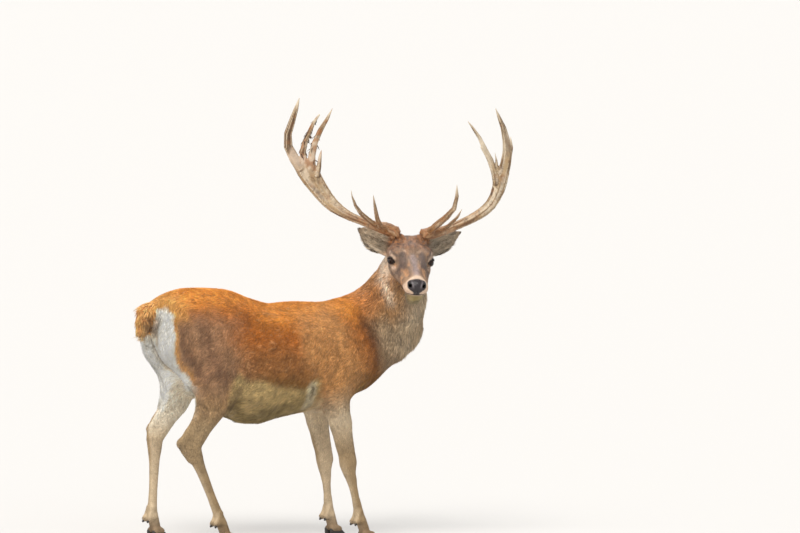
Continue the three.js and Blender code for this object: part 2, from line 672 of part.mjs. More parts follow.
// ---------- the origin, under the middle of the whole stag ----------
const whole = new THREE.Box3().setFromObject(stag);
const centre = whole.getCenter(V(0, 0, 0));
for (const mesh of stag.children) mesh.geometry.translate(-centre.x, -centre.y, 0);

export default stag;
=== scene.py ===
"""The looks of a life-size red deer stag: one skin, its coat in tufts, antlers, hooves and eyes.

Shapes are worked out in the stag's own frame, in metres: the origin on the floor under the middle of
the trunk, +X towards the chest, +Y to the stag's left, +Z up. The head has a frame of its own.
"""
import math

import bmesh
import bpy
import numpy as np
import openvdb as vdb
from mathutils import Matrix, Vector


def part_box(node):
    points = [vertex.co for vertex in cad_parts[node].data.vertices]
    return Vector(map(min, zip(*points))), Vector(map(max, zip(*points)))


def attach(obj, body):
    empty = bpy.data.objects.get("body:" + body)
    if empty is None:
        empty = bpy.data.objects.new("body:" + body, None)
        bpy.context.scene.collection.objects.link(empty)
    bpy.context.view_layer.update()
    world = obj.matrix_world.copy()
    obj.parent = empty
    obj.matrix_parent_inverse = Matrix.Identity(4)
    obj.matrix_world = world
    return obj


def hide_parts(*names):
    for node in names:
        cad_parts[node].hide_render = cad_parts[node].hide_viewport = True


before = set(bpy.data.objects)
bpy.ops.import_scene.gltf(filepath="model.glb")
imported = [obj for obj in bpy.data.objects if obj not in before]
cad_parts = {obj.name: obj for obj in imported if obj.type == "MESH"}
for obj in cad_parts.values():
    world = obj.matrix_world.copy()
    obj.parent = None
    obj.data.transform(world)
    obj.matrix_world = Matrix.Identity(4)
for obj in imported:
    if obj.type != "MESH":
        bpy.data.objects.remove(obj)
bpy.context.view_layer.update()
rng = np.random.default_rng(11)
MM = 0.001


# ---------- frames ----------
def unit(v):
    v = np.asarray(v, float)
    return v / np.maximum(np.linalg.norm(v, axis=-1, keepdims=True), 1e-9)


def centre_of(node):
    low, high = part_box(node)
    return np.array(low + high) / 2


HEAD_DIP = math.radians(29)  # of the nose below the eyes
HEAD_AT = np.array([0.637, -0.168, 1.317])  # midway between the eyes, in the stag's frame
EYE_AT = np.array([0.007, 0.085, 0.0])  # the left eye, in the head's frame
EYE_RADIUS = 0.022
UP = np.array([0.0, 0.0, 1.0])
LEFT = unit(centre_of("eye_left") - centre_of("eye_right"))
LEVEL = np.array([LEFT[1], -LEFT[0], 0.0])  # where the face looks, on the level
FORWARD = LEVEL * math.cos(HEAD_DIP) - UP * math.sin(HEAD_DIP)
HEAD_AXES = np.stack([FORWARD, LEFT, np.cross(FORWARD, LEFT)], 1).astype(np.float32)
LEVEL_AXES = np.stack([LEVEL, LEFT, UP], 1).astype(np.float32)
between_eyes = (centre_of("eye_left") + centre_of("eye_right")) / 2
ORIGIN = between_eyes - EYE_AT[0] * FORWARD - HEAD_AT  # of the stag's frame, in the row frame


def in_head(points):
    return (np.asarray(points, np.float32) - HEAD_AT.astype(np.float32)) @ HEAD_AXES


def from_head(points):
    return np.asarray(points) @ HEAD_AXES.T + HEAD_AT


def in_level(points):
    return (np.asarray(points, np.float32) - HEAD_AT.astype(np.float32)) @ LEVEL_AXES


def from_level(points):
    return np.asarray(points) @ LEVEL_AXES.T + HEAD_AT


# ---------- numbers ----------
def ease(low, high, x):
    """0 below low, 1 above high, smooth between."""
    t = np.clip((x - low) / (high - low), 0, 1)
    return t * t * (3 - 2 * t)


def fade(low, high, x):
    """1 below low, 0 above high, smooth between."""
    return 1 - ease(low, high, x)


def bump(x, middle, half):
    """1 at middle, 0 beyond half on either side."""
    return fade(0, half, np.abs(x - middle))


def mix(a, b, share):
    return a + (b - a) * share


def tint(a, b, share):
    """Rows of numbers mixed, each by its own share."""
    return a + (b - a) * np.asarray(share)[:, None]


def soft_min(a, b, reach):
    """The lower of two fields, with a fillet."""
    near = np.maximum(reach - np.abs(a - b), 0) / reach
    return np.minimum(a, b) - near * near * reach / 4


def soft_max(a, b, reach):
    return -soft_min(-a, -b, reach)


def noise(points, size, seed):
    """Smooth numbers from -1 to 1 that change over about `size`."""
    table = np.random.default_rng(seed).random((32, 32, 32), dtype=np.float32) * 2 - 1
    at = np.asarray(points, np.float32) / size + 512
    cell = np.floor(at).astype(np.int32)
    part = at - cell
    part = part * part * (3 - 2 * part)
    total = np.zeros(len(at), np.float32)
    for dx in (0, 1):
        wx = part[:, 0] if dx else 1 - part[:, 0]
        for dy in (0, 1):
            wy = part[:, 1] if dy else 1 - part[:, 1]
            for dz in (0, 1):
                wz = part[:, 2] if dz else 1 - part[:, 2]
                i, j, k = (cell[:, 0] + dx) & 31, (cell[:, 1] + dy) & 31, (cell[:, 2] + dz) & 31
                total += wx * wy * wz * table[i, j, k]
    return total


def segment(points, a, b):
    """Each point's distance from the line from a to b, and its share of the way along."""
    a, b = np.asarray(a, np.float32), np.asarray(b, np.float32)
    along = b - a
    offset = points - a
    t = np.clip(offset @ along / max(along @ along, 1e-12), 0, 1)
    return np.linalg.norm(offset - t[:, None] * along, axis=1), t


def distance(points, a, b):
    return segment(points, a, b)[0]


def hill(points, a, b, radius):
    """1 on the line from a to b, falling away over a radius in millimetres."""
    return np.exp(-((distance(points, a, b) / (radius * MM)) ** 2))


def patch(points, a, b, radius):
    """1 on the line from a to b, falling to 0 at a radius in metres."""
    return fade(0.35 * radius, radius, distance(points, a, b))


SIDES = (1, -1)  # left and right


def mirrored(points, side):
    return np.asarray(points, np.float32) * np.array([1, side, 1], np.float32)


def folded(points):
    """Places with those of the right side moved over to the left."""
    x, y, z = points.T
    return np.stack([x, np.abs(y), z], 1)


# ---------- meshes ----------
def read(items, field, kind=np.float32):
    """A field of three numbers of each vertex or triangle of a mesh."""
    values = np.empty(len(items) * 3, kind)
    items.foreach_get(field, values)
    return values.reshape(-1, 3)


def points_of(mesh):
    """The vertices, in the stag's frame."""
    return read(mesh.vertices, "co") - ORIGIN


def normals_of(mesh):
    return read(mesh.vertices, "normal")


def triangles_of(mesh):
    mesh.calc_loop_triangles()
    return read(mesh.loop_triangles, "vertices", np.int32)


def move(mesh, points):
    """Gives the vertices new places, in the stag's frame."""
    mesh.vertices.foreach_set("co", (points + ORIGIN).astype(np.float32).ravel())
    mesh.update()


def corners_of(node):
    """The low and the high corner of a node's box, in the stag's frame."""
    return [np.array(corner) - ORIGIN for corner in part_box(node)]


def joined(names):
    """The vertices and triangles of some nodes, together."""
    points, faces, start = [], [], 0
    for name in names:
        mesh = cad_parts[name].data
        points.append(points_of(mesh))
        faces.append(triangles_of(mesh) + start)
        start += len(mesh.vertices)
    return np.concatenate(points).astype(np.float32), np.concatenate(faces)


def added(name, data):
    """A new object of the scene, for a mesh, a lamp or a camera."""
    made = bpy.data.objects.new(name, data)
    bpy.context.scene.collection.objects.link(made)
    return made


def mesh_object(name, points, faces):
    """A mesh object from points in the stag's frame and faces of three or four corners."""
    mesh = bpy.data.meshes.new(name)
    sides = [len(f[0]) for f in faces if len(f)]
    counts = np.concatenate([np.full(len(f), f.shape[1]) for f in faces if len(f)])
    corners = np.concatenate([f.ravel() for f in faces if len(f)])
    mesh.vertices.add(len(points))
    mesh.vertices.foreach_set("co", (points + ORIGIN).astype(np.float32).ravel())
    mesh.loops.add(len(corners))
    mesh.loops.foreach_set("vertex_index", corners.astype(np.int32))
    mesh.polygons.add(len(counts))
    mesh.polygons.foreach_set("loop_start", (np.cumsum(counts) - counts).astype(np.int32))
    if len(sides) == 1:
        mesh.polygons.foreach_set("loop_total", counts.astype(np.int32))
    mesh.update(calc_edges=True)
    return added(name, mesh)


def paint(mesh, colours):
    """Stores a colour for each vertex, as linear RGB."""
    layer = mesh.color_attributes.new("tint", "FLOAT_COLOR", "POINT")
    rgba = np.ones((len(mesh.vertices), 4), np.float32)
    rgba[:, :3] = np.clip(colours, 0, 1)
    layer.data.foreach_set("color", rgba.ravel())


def rides(obj, replaced=()):
    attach(obj, "root")
    if replaced:
        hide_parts(*replaced)
    return obj


# ---------- fields of distance ----------
class Volume:
    """Distances from the surface of some nodes, on a box of voxels, negative inside."""

    def __init__(self, names, voxel, band, gap, box=None):
        self.voxel = voxel
        transform = vdb.createLinearTransform(voxelSize=voxel)
        points, faces = joined(names)
        first = vdb.FloatGrid.createLevelSetFromPolygons(
            points, triangles=faces.astype(np.uint32), transform=transform, halfWidth=3
        )
        shell, quads = first.convertToQuads(isovalue=gap)  # closes the gaps between the nodes
        full = vdb.FloatGrid.createLevelSetFromPolygons(
            shell, quads=quads, transform=transform, halfWidth=band / voxel
        )
        if box is None:
            low, high = full.evalActiveVoxelBoundingBox()
            self.low, high = np.array(low) - 2, np.array(high) + 2
        else:
            self.low = np.floor(np.array(box[0]) / voxel).astype(int)
            high = np.ceil(np.array(box[1]) / voxel).astype(int)
        self.values = np.full(tuple(high - self.low + 1), band, np.float32)
        full.copyToArray(self.values, ijk=tuple(int(i) for i in self.low))
        self.values += np.float32(gap)

    def axes(self):
        """The place of each layer of voxels, along X, Y and Z."""
        return [(self.low[i] + np.arange(self.values.shape[i])) * self.voxel for i in range(3)]

    def height(self, at, normal):
        """How far each voxel is above a plane."""
        x, y, z = (axis - start for axis, start in zip(self.axes(), at))
        parts = (x[:, None, None] * normal[0], y[None, :, None] * normal[1], z[None, None, :] * normal[2])
        return sum(part.astype(np.float32) for part in parts)

    def near(self, reach):
        """The voxels within `reach` of the surface, and their places."""
        index = np.nonzero(np.abs(self.values) < reach)
        points = np.stack([(index[i] + self.low[i]) * self.voxel for i in range(3)], 1)
        return index, points.astype(np.float32)

    def change(self, spots, margin, rule):
        """Gives the voxels around some places the values rule(values, points)."""
        spots = np.asarray(spots)
        first = np.floor((spots.min(0) - margin) / self.voxel).astype(int) - self.low
        last = np.ceil((spots.max(0) + margin) / self.voxel).astype(int) - self.low
        first = np.clip(first, 0, self.values.shape)
        last = np.clip(last, 0, self.values.shape)
        here = tuple(slice(a, b) for a, b in zip(first, last))
        places = np.meshgrid(*[axis[part] for axis, part in zip(self.axes(), here)], indexing="ij")
        points = np.stack([p.ravel() for p in places], 1).astype(np.float32)
        values = self.values[here]
        self.values[here] = rule(values.ravel(), points).reshape(values.shape)

    def polygons(self, adaptivity=0.0):
        grid = vdb.FloatGrid(float(self.values.max()))
        grid.transform = vdb.createLinearTransform(voxelSize=self.voxel)
        grid.copyFromArray(self.values, ijk=tuple(int(i) for i in self.low))
        points, triangles, quads = grid.convertToPolygons(isovalue=0.0, adaptivity=adaptivity)
        return points, [triangles.astype(np.int64), quads.astype(np.int64)]


def blurred(values, width, passes=3):
    """Box blurs of an odd width along each axis."""
    half = width // 2
    for _ in range(passes):
        for axis in range(3):
            pad = [(0, 0)] * 3
            pad[axis] = (half + 1, half)
            sums = np.cumsum(np.pad(values, pad, mode="edge"), axis=axis, dtype=np.float32)
            ahead = [slice(None)] * 3
            behind = [slice(None)] * 3
            ahead[axis] = slice(width, None)
            behind[axis] = slice(0, -width)
            values = (sums[tuple(ahead)] - sums[tuple(behind)]) / np.float32(width)
    return values


# ---------- the body's regions ----------
JOIN_NORMAL = unit(UP + 0.5 * LEVEL + 0.2 * LEFT)  # the head's skin meets the neck's in this plane
JOIN_AT = HEAD_AT + np.array([0, 0, 1.18 - 1.317])
EARS = {  # root and tip, above the level head
    "right": (np.array([-0.090, -0.064, 0.034]), np.array([-0.182, -0.232, 0.132])),
    "left": (np.array([-0.092, 0.062, 0.028]), np.array([-0.192, 0.264, 0.132])),
}
EAR_OPENS = {"right": unit([0.9, -0.3, -0.1]), "left": unit([0.85, 0.2, -0.4])}  # where each bowl faces
TROTTERS = ("foreleg_right", "foreleg_left", "hindleg_right", "hindleg_left")


def join(points):
    """Height above the plane where the head's skin meets the neck's."""
    return (points - JOIN_AT) @ JOIN_NORMAL


def ear_place(points, side):
    """How far a point is along an ear, from 0 to 1, and how much it belongs to it."""
    level = in_level(points)
    root, tip = EARS[side]
    away, along = segment(level, root, tip)
    sideways = np.abs(level[:, 1]) - 0.062
    return along, ease(0.13, 0.24, along) * fade(0.070, 0.085, away) * ease(0.02, 0.045, sideways)


def regions(points):
    """How much each point belongs to each region of the coat."""
    x, y, z = points.T
    above = join(points)
    h = in_head(points)
    forward = ease(0.40, 0.46, x)
    face = ease(0.03, 0.06, in_level(points)[:, 0]) * ease(1.10, 1.13, z)
    head = np.maximum(ease(0.0, 0.06, above) * forward, face * forward)
    ears = np.maximum(ear_place(points, "right")[1], ear_place(points, "left")[1]) * head
    muzzle = head * ease(0.10, 0.17, h[:, 0])
    fore = ease(0.14, 0.22, x)
    hind = fade(-0.27, -0.19, x)
    limb = np.maximum(fade(0.56, 0.70, z) * fore, fade(0.52, 0.72, z) * hind)
    shank = fade(0.36, 0.46, z) * limb
    rump = fade(-0.62, -0.54, x) * ease(0.62, 0.72, z)
    tail = fade(-0.685, -0.655, x) * ease(0.86, 0.92, z) * fade(0.05, 0.07, np.abs(y))
    neck = ease(0.40, 0.56, x + 0.5 * (z - 1.0)) * ease(0.86, 0.98, z + 0.25 * (x - 0.5)) * (1 - head)
    throat = neck * ease(0.60, 0.74, x - 0.35 * (z - 1.05) - 0.3 * np.minimum(y, 0))
    belly = fade(0.60, 0.72, z) * (1 - limb)
    return {
        "head": head, "ears": ears, "muzzle": muzzle, "limb": limb, "shank": shank, "rump": rump,
        "tail": tail, "neck": neck, "throat": throat, "belly": belly,
    }


# How far the coat's tips stand out, how long and how wide its tufts are, all in millimetres, and
# how many thousands of tufts grow on a square metre. A region's numbers go over those before it.
DEPTH, LENGTH, WIDTH, DENSITY = range(4)
TRUNK_COAT = (5.5, 21, 3.3, 90)
REGION_COATS = {
    "belly": (8, 26, 4.2, None),
    "rump": (None, 26, 4.4, None),
    "neck": (9, 36, 4.3, 92),
    "throat": (15, 50, 4.8, 80),
    "limb": (2.6, 12, 2.9, 78),
    "shank": (2.0, 9, 2.5, None),
    "tail": (9, 44, 6.5, 60),
    "head": (3.2, 9, 2.4, 170),
    "muzzle": (1.2, 5, 1.6, None),
    "ears": (1.2, 9, 2.2, 110),
}


def coat_number(column, r, scale=1.0):
    """One column of the coat's table for each point, smooth from region to region."""
    value = np.full(len(r["head"]), TRUNK_COAT[column] * scale)
    for region, row in REGION_COATS.items():
        if row[column] is not None:
            value = mix(value, row[column] * scale, r[region])
    return value


# ---------- the skin of the body ----------
# Each swelling runs from a to b on the left side, with its radius and height in millimetres.
SWELLINGS = [
    ((0.335, 0.10, 1.05), (0.425, 0.17, 0.86), 30, 5),  # ridge of the shoulder blade
    ((0.425, 0.19, 0.86), (0.36, 0.18, 0.77), 38, 5),  # point of the shoulder
    ((0.245, 0.19, 0.96), (0.262, 0.19, 0.80), 26, -7),  # behind the shoulder
    ((0.30, 0.16, 0.72), (0.27, 0.15, 0.70), 24, 5),  # elbow
    ((0.40, 0.12, 1.06), (0.515, 0.17, 0.90), 24, -7),  # ahead of the shoulder
    ((-0.345, 0.13, 1.07), (-0.33, 0.16, 1.03), 34, 8),  # hip bone
    ((-0.20, 0.16, 1.02), (-0.16, 0.19, 0.95), 60, -9),  # hollow of the flank
    ((-0.285, 0.17, 0.80), (-0.215, 0.20, 0.90), 20, 5),  # fold from the stifle
    ((-0.245, 0.20, 0.96), (-0.235, 0.19, 0.84), 20, -5),  # ahead of the thigh
    ((-0.505, 0.17, 1.01), (-0.475, 0.17, 0.76), 17, -5),  # between the muscles of the thigh
    ((-0.31, 0.16, 0.79), (-0.31, 0.16, 0.76), 30, 5),  # stifle
    ((-0.60, 0.10, 1.02), (-0.585, 0.13, 0.95), 26, 6),  # seat bone
]
HOCKS = [  # rods of bone and sinew that shape the back of each hock, with the radius in millimetres
    ((-0.548, -0.117, 0.466), (-0.510, -0.117, 0.445), 15),
    ((-0.545, -0.117, 0.458), (-0.495, -0.117, 0.395), 13),
    ((-0.546, -0.117, 0.470), (-0.455, -0.117, 0.620), 9),
    ((-0.571, 0.114, 0.512), (-0.550, 0.114, 0.480), 14),
]
RIBS = [0.19, 0.135, 0.08, 0.025, -0.03, -0.085]


def swell(volume, a, b, radius, height):
    """Raises the surface near the line from a to b, or sinks it where height is negative."""
    rule = lambda values, points: values - height * MM * hill(points, a, b, radius)
    volume.change([a, b], 2.6 * radius * MM, rule)


def thicken(volume, a, b, radius, fillet):
    """Adds a rod of flesh from a to b, with a radius in millimetres and a fillet in metres."""
    rule = lambda values, points: soft_min(values, distance(points, a, b) - radius * MM, fillet)
    volume.change([a, b], radius * MM + 1.5 * fillet, rule)


def body_relief(volume):
    for side in SIDES:
        for a, b, radius, height in SWELLINGS:
            swell(volume, mirrored(a, side), mirrored(b, side), radius, height)
        for x in RIBS:
            top, bottom = mirrored([(x + 0.02, 0.19, 0.99), (x - 0.05, 0.21, 0.74)], side)
            swell(volume, top, bottom, 13, 1.6)

    def cleft(values, points):
        x, y, z = points.T
        deep = np.exp(-((y / 0.012) ** 2)) * ease(0.64, 0.74, z) * fade(0.92, 0.99, z)
        return values + 9 * MM * deep * fade(-0.50, -0.44, x)

    volume.change([(-0.70, -0.02, 0.66), (-0.48, 0.02, 0.98)], 0.02, cleft)
    for trotter in TROTTERS:  # flesh that carries the dewclaws
        for which in ("inner", "outer"):
            claw = centre_of(f"{trotter}_dewclaw_{which}") - ORIGIN
            thicken(volume, claw + (0.003, 0, 0.007), claw + (0.030, 0, 0.018), 11, 0.014)
            thicken(volume, claw + (0.006, 0, 0.012), claw + (0.020, 0, 0.058), 10, 0.016)
            low, high = corners_of(f"{trotter}_hoof_{which}")
            middle = (low[1] + high[1]) / 2
            heel = np.array([low[0] + 0.022, middle, 0.040])
            thicken(volume, heel, heel + (0.030, 0, 0.001), 15, 0.014)
    swell(volume, (0.655, -0.090, 0.885), (0.685, -0.090, 0.985), 62, 17)  # the mane over the brisket
    swell(volume, (-0.495, -0.117, 0.680), (-0.520, -0.117, 0.570), 42, -30)  # above the right hock
    for a, b, radius in HOCKS:
        thicken(volume, np.array(a), np.array(b), radius, 0.028)
    for trotter in TROTTERS[2:]:  # the hollow between the shin and the Achilles tendon
        low, high = corners_of(trotter + "_cannon")
        hock = np.array([low[0] + 0.02, (low[1] + high[1]) / 2, high[2] + 0.075])
        for out in (-0.036, 0.036):
            swell(volume, hock + (0.012, out, 0.10), hock + (-0.012, out, 0.02), 13, -7)


LIMB_NODES = [f"{t}_{part}" for t in TROTTERS for part in ("upper", "cannon", "pastern")]
EAR_NODES = ["ear_left", "ear_right"]
BODY_NODES = ["trunk", "neck", "head", "tail", "scrotum", *LIMB_NODES]
BODY_VOXEL = 0.005
HEAD_VOXEL = 0.002


def body_volume():
    volume = Volume(BODY_NODES, BODY_VOXEL, band=0.050, gap=0.0015)
    fine = blurred(volume.values, width=3, passes=2)
    broad = blurred(fine, width=9)
    volume.values = fine
    index, points = volume.near(0.044)  # all that the coat's depth and the reliefs can reach
    r = regions(points)
    z = points[:, 2]
    wide = ease(0.62, 0.74, z) * (1 - ease(0.0, 0.03, join(points)) * ease(0.40, 0.46, points[:, 0]))
    wide *= 1 - r["tail"]
    value = mix(fine[index], broad[index], wide)
    volume.values[index] = value + coat_number(DEPTH, r, MM)
    body_relief(volume)
    return volume


def upsampled(volume, other):
    """The values of `volume` at the voxels of `other`."""
    values = volume.values
    for axis, places in enumerate(other.axes()):
        at = places / volume.voxel - volume.low[axis]
        low = np.clip(np.floor(at).astype(int), 0, values.shape[axis] - 2)
        part = np.clip(at - low, 0, 1).astype(np.float32)
        shape = [1, 1, 1]
        shape[axis] = len(part)
        part = part.reshape(shape)
        values = np.take(values, low, axis) * (1 - part) + np.take(values, low + 1, axis) * part
    return values


# ---------- the skin of the head ----------
def face_shift(points):
    """The face is set a little higher than the blocks it starts from, and its muzzle further left."""
    f = in_head(points)[:, 0]
    up = 7.0 * ease(-0.09, -0.02, f) + 2.0 * ease(0.06, 0.20, f)
    left = 7.0 * ease(0.03, 0.16, f)
    own = MM * ease(0.0, 0.06, join(np.asarray(points, np.float32)))
    return (np.stack([0 * f, left * own, up * own], 1) @ HEAD_AXES.T).astype(np.float32)


def in_face(points):
    """Places in the head's frame before the shift, where the eyes, the nose and the mouth are drawn."""
    return in_head(points - face_shift(points))


EYE_LOOKS = math.radians(47)  # each eye, away from straight ahead
LID = {"half": 0.0222, "upper": 0.0168, "lower": 0.0098, "thick": 0.0026, "slant": -0.18}


def eye_frame(h, side):
    """A point's place by an eye: towards the nose, upwards, outwards, and from its centre."""
    d = h - EYE_AT * (1, side, 1)
    out = np.array([math.cos(EYE_LOOKS), side * math.sin(EYE_LOOKS), 0.0])
    inner = np.array([math.sin(EYE_LOOKS), -side * math.cos(EYE_LOOKS), 0.0])
    return d @ inner, d[:, 2], d @ out, np.linalg.norm(d, axis=1)


def lid_gap(h, side):
    """Distance outside the almond between the lids, and where a point is by the eye."""
    inner, up, out, away = eye_frame(h, side)
    level = up + LID["slant"] * inner
    arch = 1 - (inner / LID["half"]) ** 2
    gap = np.maximum(level - LID["upper"] * arch, -level - LID["lower"] * arch)
    return gap, out, away, level, inner


def shape_lids(head, side):
    """The lids stand round the eyeball, open in an almond, with a fold above and below."""

    def rule(value, points):
        gap, out, away, level, _ = lid_gap(in_head(points), side)
        ball = away - (EYE_RADIUS + LID["thick"])
        value = soft_min(value, ball, 0.015)
        near = np.exp(-((ball / 0.010) ** 2)) * (out > 0)
        upper = ease(0.0, 0.004, level)
        value = value + near * upper * 1.6 * MM * np.exp(-(((gap - 0.0075) / 0.0020) ** 2))
        value = value + near * (1 - upper) * 1.0 * MM * np.exp(-(((gap - 0.0065) / 0.0018) ** 2))
        value = value - near * 0.7 * MM * np.exp(-(((gap - 0.0025) / 0.0020) ** 2))
        hole = np.maximum(np.maximum(gap, EYE_RADIUS - 0.005 - away), -out)
        return soft_max(value, -hole, 0.0016)

    head.change([from_head(mirrored(EYE_AT, side))], 0.042, rule)


# From a to b in the head's frame on its left side, with the radius and height in millimetres.
FACE_SWELLINGS = [
    ((0.029, 0.071, -0.008), (0.047, 0.062, -0.018), 4.0, -3.5),  # tear duct
    ((0.047, 0.062, -0.018), (0.082, 0.050, -0.030), 4.5, -4.5),
    ((0.030, 0.085, 0.027), (-0.030, 0.105, 0.026), 9, 3.0),  # brow
    ((0.060, 0.070, -0.030), (-0.010, 0.095, -0.048), 10, 2.5),  # cheekbone
    ((0.020, 0.075, -0.075), (0.110, 0.052, -0.058), 12, -2.5),  # ahead of the jaw muscle
    ((0.110, 0.040, 0.004), (0.190, 0.036, 0.006), 10, -1.8),  # beside the bridge of the nose
    ((0.205, 0.034, 0.014), (0.228, 0.030, 0.012), 9, 2.4),  # wing of the nostril
    ((0.218, 0.042, -0.030), (0.185, 0.052, -0.034), 13, 4.5),  # upper lip
    ((-0.010, 0.0, 0.052), (0.050, 0.0, 0.050), 16, -0.9),  # hollow between the brows
]
NOSTRIL = [  # its rim from the middle outwards, with the radius in millimetres
    ((0.248, 0.023, -0.005), 6.0),
    ((0.244, 0.034, 0.004), 9.5),
    ((0.236, 0.042, 0.012), 8.0),
    ((0.216, 0.050, 0.006), 3.5),
]
CHIN_BONE = [(0.203, 0.011, -0.075), (0.085, 0.020, -0.076)]


def pierce(head, side, a, b, ra, rb):
    """Takes a tapered hole out of the head."""

    def rule(value, points):
        away, t = segment(mirrored(in_head(points), side), a, b)
        return soft_max(value, mix(ra, rb, t) * MM - away, 0.003)

    head.change(from_head(mirrored([a, b], side)), 0.014, rule)


def shape_lips(head):
    def rule(value, points):
        f, l, u = in_head(points).T
        groove = np.exp(-((l / 0.0022) ** 2)) * ease(-0.046, -0.040, u) * fade(-0.016, -0.006, u)
        value = value + 2.6 * MM * groove * ease(0.215, 0.235, f)
        mouth = mouth_height(f)
        value = value + 4.2 * MM * np.exp(-(((u - mouth) / 0.0021) ** 2)) * ease(0.118, 0.150, f)
        lip = np.exp(-(((u - mouth + 0.008) / 0.0045) ** 2)) * ease(0.17, 0.21, f)
        return value - 1.6 * MM * lip

    corners = [(0.11, -0.08, -0.10), (0.26, 0.08, 0.0), (0.11, 0.08, -0.10), (0.26, -0.08, 0.0)]
    head.change(from_head(corners), 0.01, rule)


def mouth_height(f):
    return -0.0435 - 0.080 * np.clip(0.235 - f, 0, 0.2)


def head_details(head):
    for side in SIDES:
        shape_lids(head, side)
        for a, b, radius, height in FACE_SWELLINGS:
            a, b = from_head(mirrored([a, b], side))
            swell(head, a, b, radius, height)
        a, b = from_head(mirrored(CHIN_BONE, side))
        thicken(head, a, b, 18, 0.020)
        for (a, ra), (b, rb) in zip(NOSTRIL, NOSTRIL[1:]):
            pierce(head, side, a, b, ra, rb)
        pierce(head, side, (0.243, 0.034, 0.004), (0.205, 0.028, -0.004), 8.5, 5.0)
    shape_lips(head)


def hollow_ear(ear, side):
    """Sinks the front of an ear into a bowl."""
    root, tip = EARS[side]
    opens = EAR_OPENS[side]
    across = unit(np.cross(tip - root, opens))

    def rule(values, points):
        level = in_level(points) - (root + tip).astype(np.float32) / 2
        along = level @ unit(tip - root).astype(np.float32) / (0.48 * np.linalg.norm(tip - root))
        wide = level @ across.astype(np.float32) / 0.052
        deep = fade(0.35, 0.95, np.hypot(along, wide))
        front = ease(-0.004, 0.003, level @ opens.astype(np.float32))
        return values + np.float32(7.5 * MM) * deep * front

    ear.change(from_level(np.stack([root, tip])), 0.08, rule)


def head_volume(body):
    low = np.array([0.470, -0.400, 1.100])
    high = np.array([0.995, 0.165, 1.495])
    head = Volume(["head", "muzzle"], HEAD_VOXEL, band=0.024, gap=0.0008, box=(low, high))
    head.values = blurred(head.values, width=5)
    above = head.height(JOIN_AT, JOIN_NORMAL)
    ahead = head.height(HEAD_AT, LEVEL)
    index, points = head.near(0.012)
    head.values[index] += coat_number(DEPTH, regions(points), MM)
    coarse = upsampled(body, head)
    coarse += 0.025 * np.maximum(ease(0.055, 0.10, above), ease(0.02, 0.06, ahead)).astype(np.float32)
    head.values = soft_min(head.values, coarse, np.float32(0.006))
    for node in EAR_NODES:
        ear = Volume([node], HEAD_VOXEL, band=0.016, gap=0.0002, box=(low, high))
        ear.values = blurred(ear.values, width=3, passes=1) + np.float32(0.0010)
        hollow_ear(ear, node.removeprefix("ear_"))
        head.values = soft_min(head.values, ear.values, np.float32(0.012))
    for side in SIDES:
        a, b = from_level(mirrored([(-0.086, 0.066, 0.080), (-0.100, 0.108, 0.098)], side))
        thicken(head, a, b, 13, 0.012)
    a, b = from_level([(-0.098, -0.094, 0.018), (-0.140, -0.160, 0.050)])
    thicken(head, a, b, 8, 0.016)  # the lower edge of the right ear
    head_details(head)
    below = np.minimum(above, 0)
    head.values = np.maximum(head.values - np.float32(0.5) * below, -above - np.float32(0.03))
    return head


def trim_at_join(body):
    """Ends the body's skin just above the join, sinking into the head's."""
    above = body.height(JOIN_AT, JOIN_NORMAL)
    here = (body.height((0.44, 0, 0), (1, 0, 0)) > 0) & (body.height((0, 0, 1.08), UP) > 0)
    sunk = body.values + np.float32(0.5) * np.maximum(above, 0)
    sunk = np.maximum(sunk, above - np.float32(0.03))
    body.values = np.where(here, sunk, body.values)


def skin_mesh():
    body = body_volume()
    head = head_volume(body)
    trim_at_join(body)
    base = mesh_object("skin", *body.polygons(adaptivity=0.02))
    places, faces = head.polygons(adaptivity=0.006)
    face = mesh_object("skin_of_the_head", places + face_shift(places), faces)
    union = base.modifiers.new("join", "BOOLEAN")
    union.object = face
    union.operation = "UNION"
    union.solver = "MANIFOLD"
    bpy.context.view_layer.objects.active = base
    bpy.ops.object.modifier_apply(modifier=union.name)
    bpy.data.objects.remove(face)
    return base


# ---------- markings ----------
def seen(red, green, blue):
    """A colour as a screen shows it, 0 to 255, turned into linear light."""
    c = np.array([red, green, blue]) / 255
    return np.where(c <= 0.04045, c / 12.92, ((c + 0.055) / 1.055) ** 2.4)


BACK_WITH_TOP_LIGHT = seen(230, 152, 66)
RUST = seen(172, 100, 36)
FLANK = seen(160, 106, 56)
LOW_FLANK = seen(138, 98, 48)
CREAM = seen(196, 168, 114)
SHADED_CREAM = seen(158, 136, 92)
HAUNCH = seen(176, 134, 98)
BUFF = seen(172, 138, 98)
WHITE = seen(255, 250, 236)
GOLD = seen(228, 166, 92)
# painted shade, for the creases and folds of the skin
PAINTED_SHADE = seen(92, 70, 48)
GINGER = seen(236, 178, 108)
RUSSET = seen(188, 122, 62)
GLINT = seen(208, 156, 102)
FOLD = seen(216, 202, 168)
INNER_THIGH = seen(240, 226, 202)
HAUNCH_EDGE = seen(122, 86, 62)
LEG = seen(164, 138, 102)
PALE_LEG = seen(216, 194, 162)
DARK_LEG = seen(124, 98, 70)
NECK_SIDE = seen(156, 116, 74)
NECK_RIDGE = seen(188, 116, 54)
NECK_FRONT = seen(184, 164, 136)
NECK_STREAK = seen(106, 70, 42)
CHEST = seen(168, 146, 116)
SHOULDER = seen(204, 148, 90)
FACE = seen(158, 126, 98)
DARK_FACE = seen(100, 74, 58)
WARM_FACE = seen(204, 150, 104)
CROWN = seen(160, 108, 70)
DARK_CROWN_AND_SHADE = seen(88, 62, 42)
TUFT = seen(170, 110, 62)
FOREHEAD = seen(128, 102, 90)
BRIDGE = seen(164, 142, 136)
SMOKE_AND_SHADE = seen(80, 64, 62)
EYE_RING = seen(228, 196, 168)
LID_RIM = seen(34, 24, 19)
CHEEK = seen(202, 172, 140)
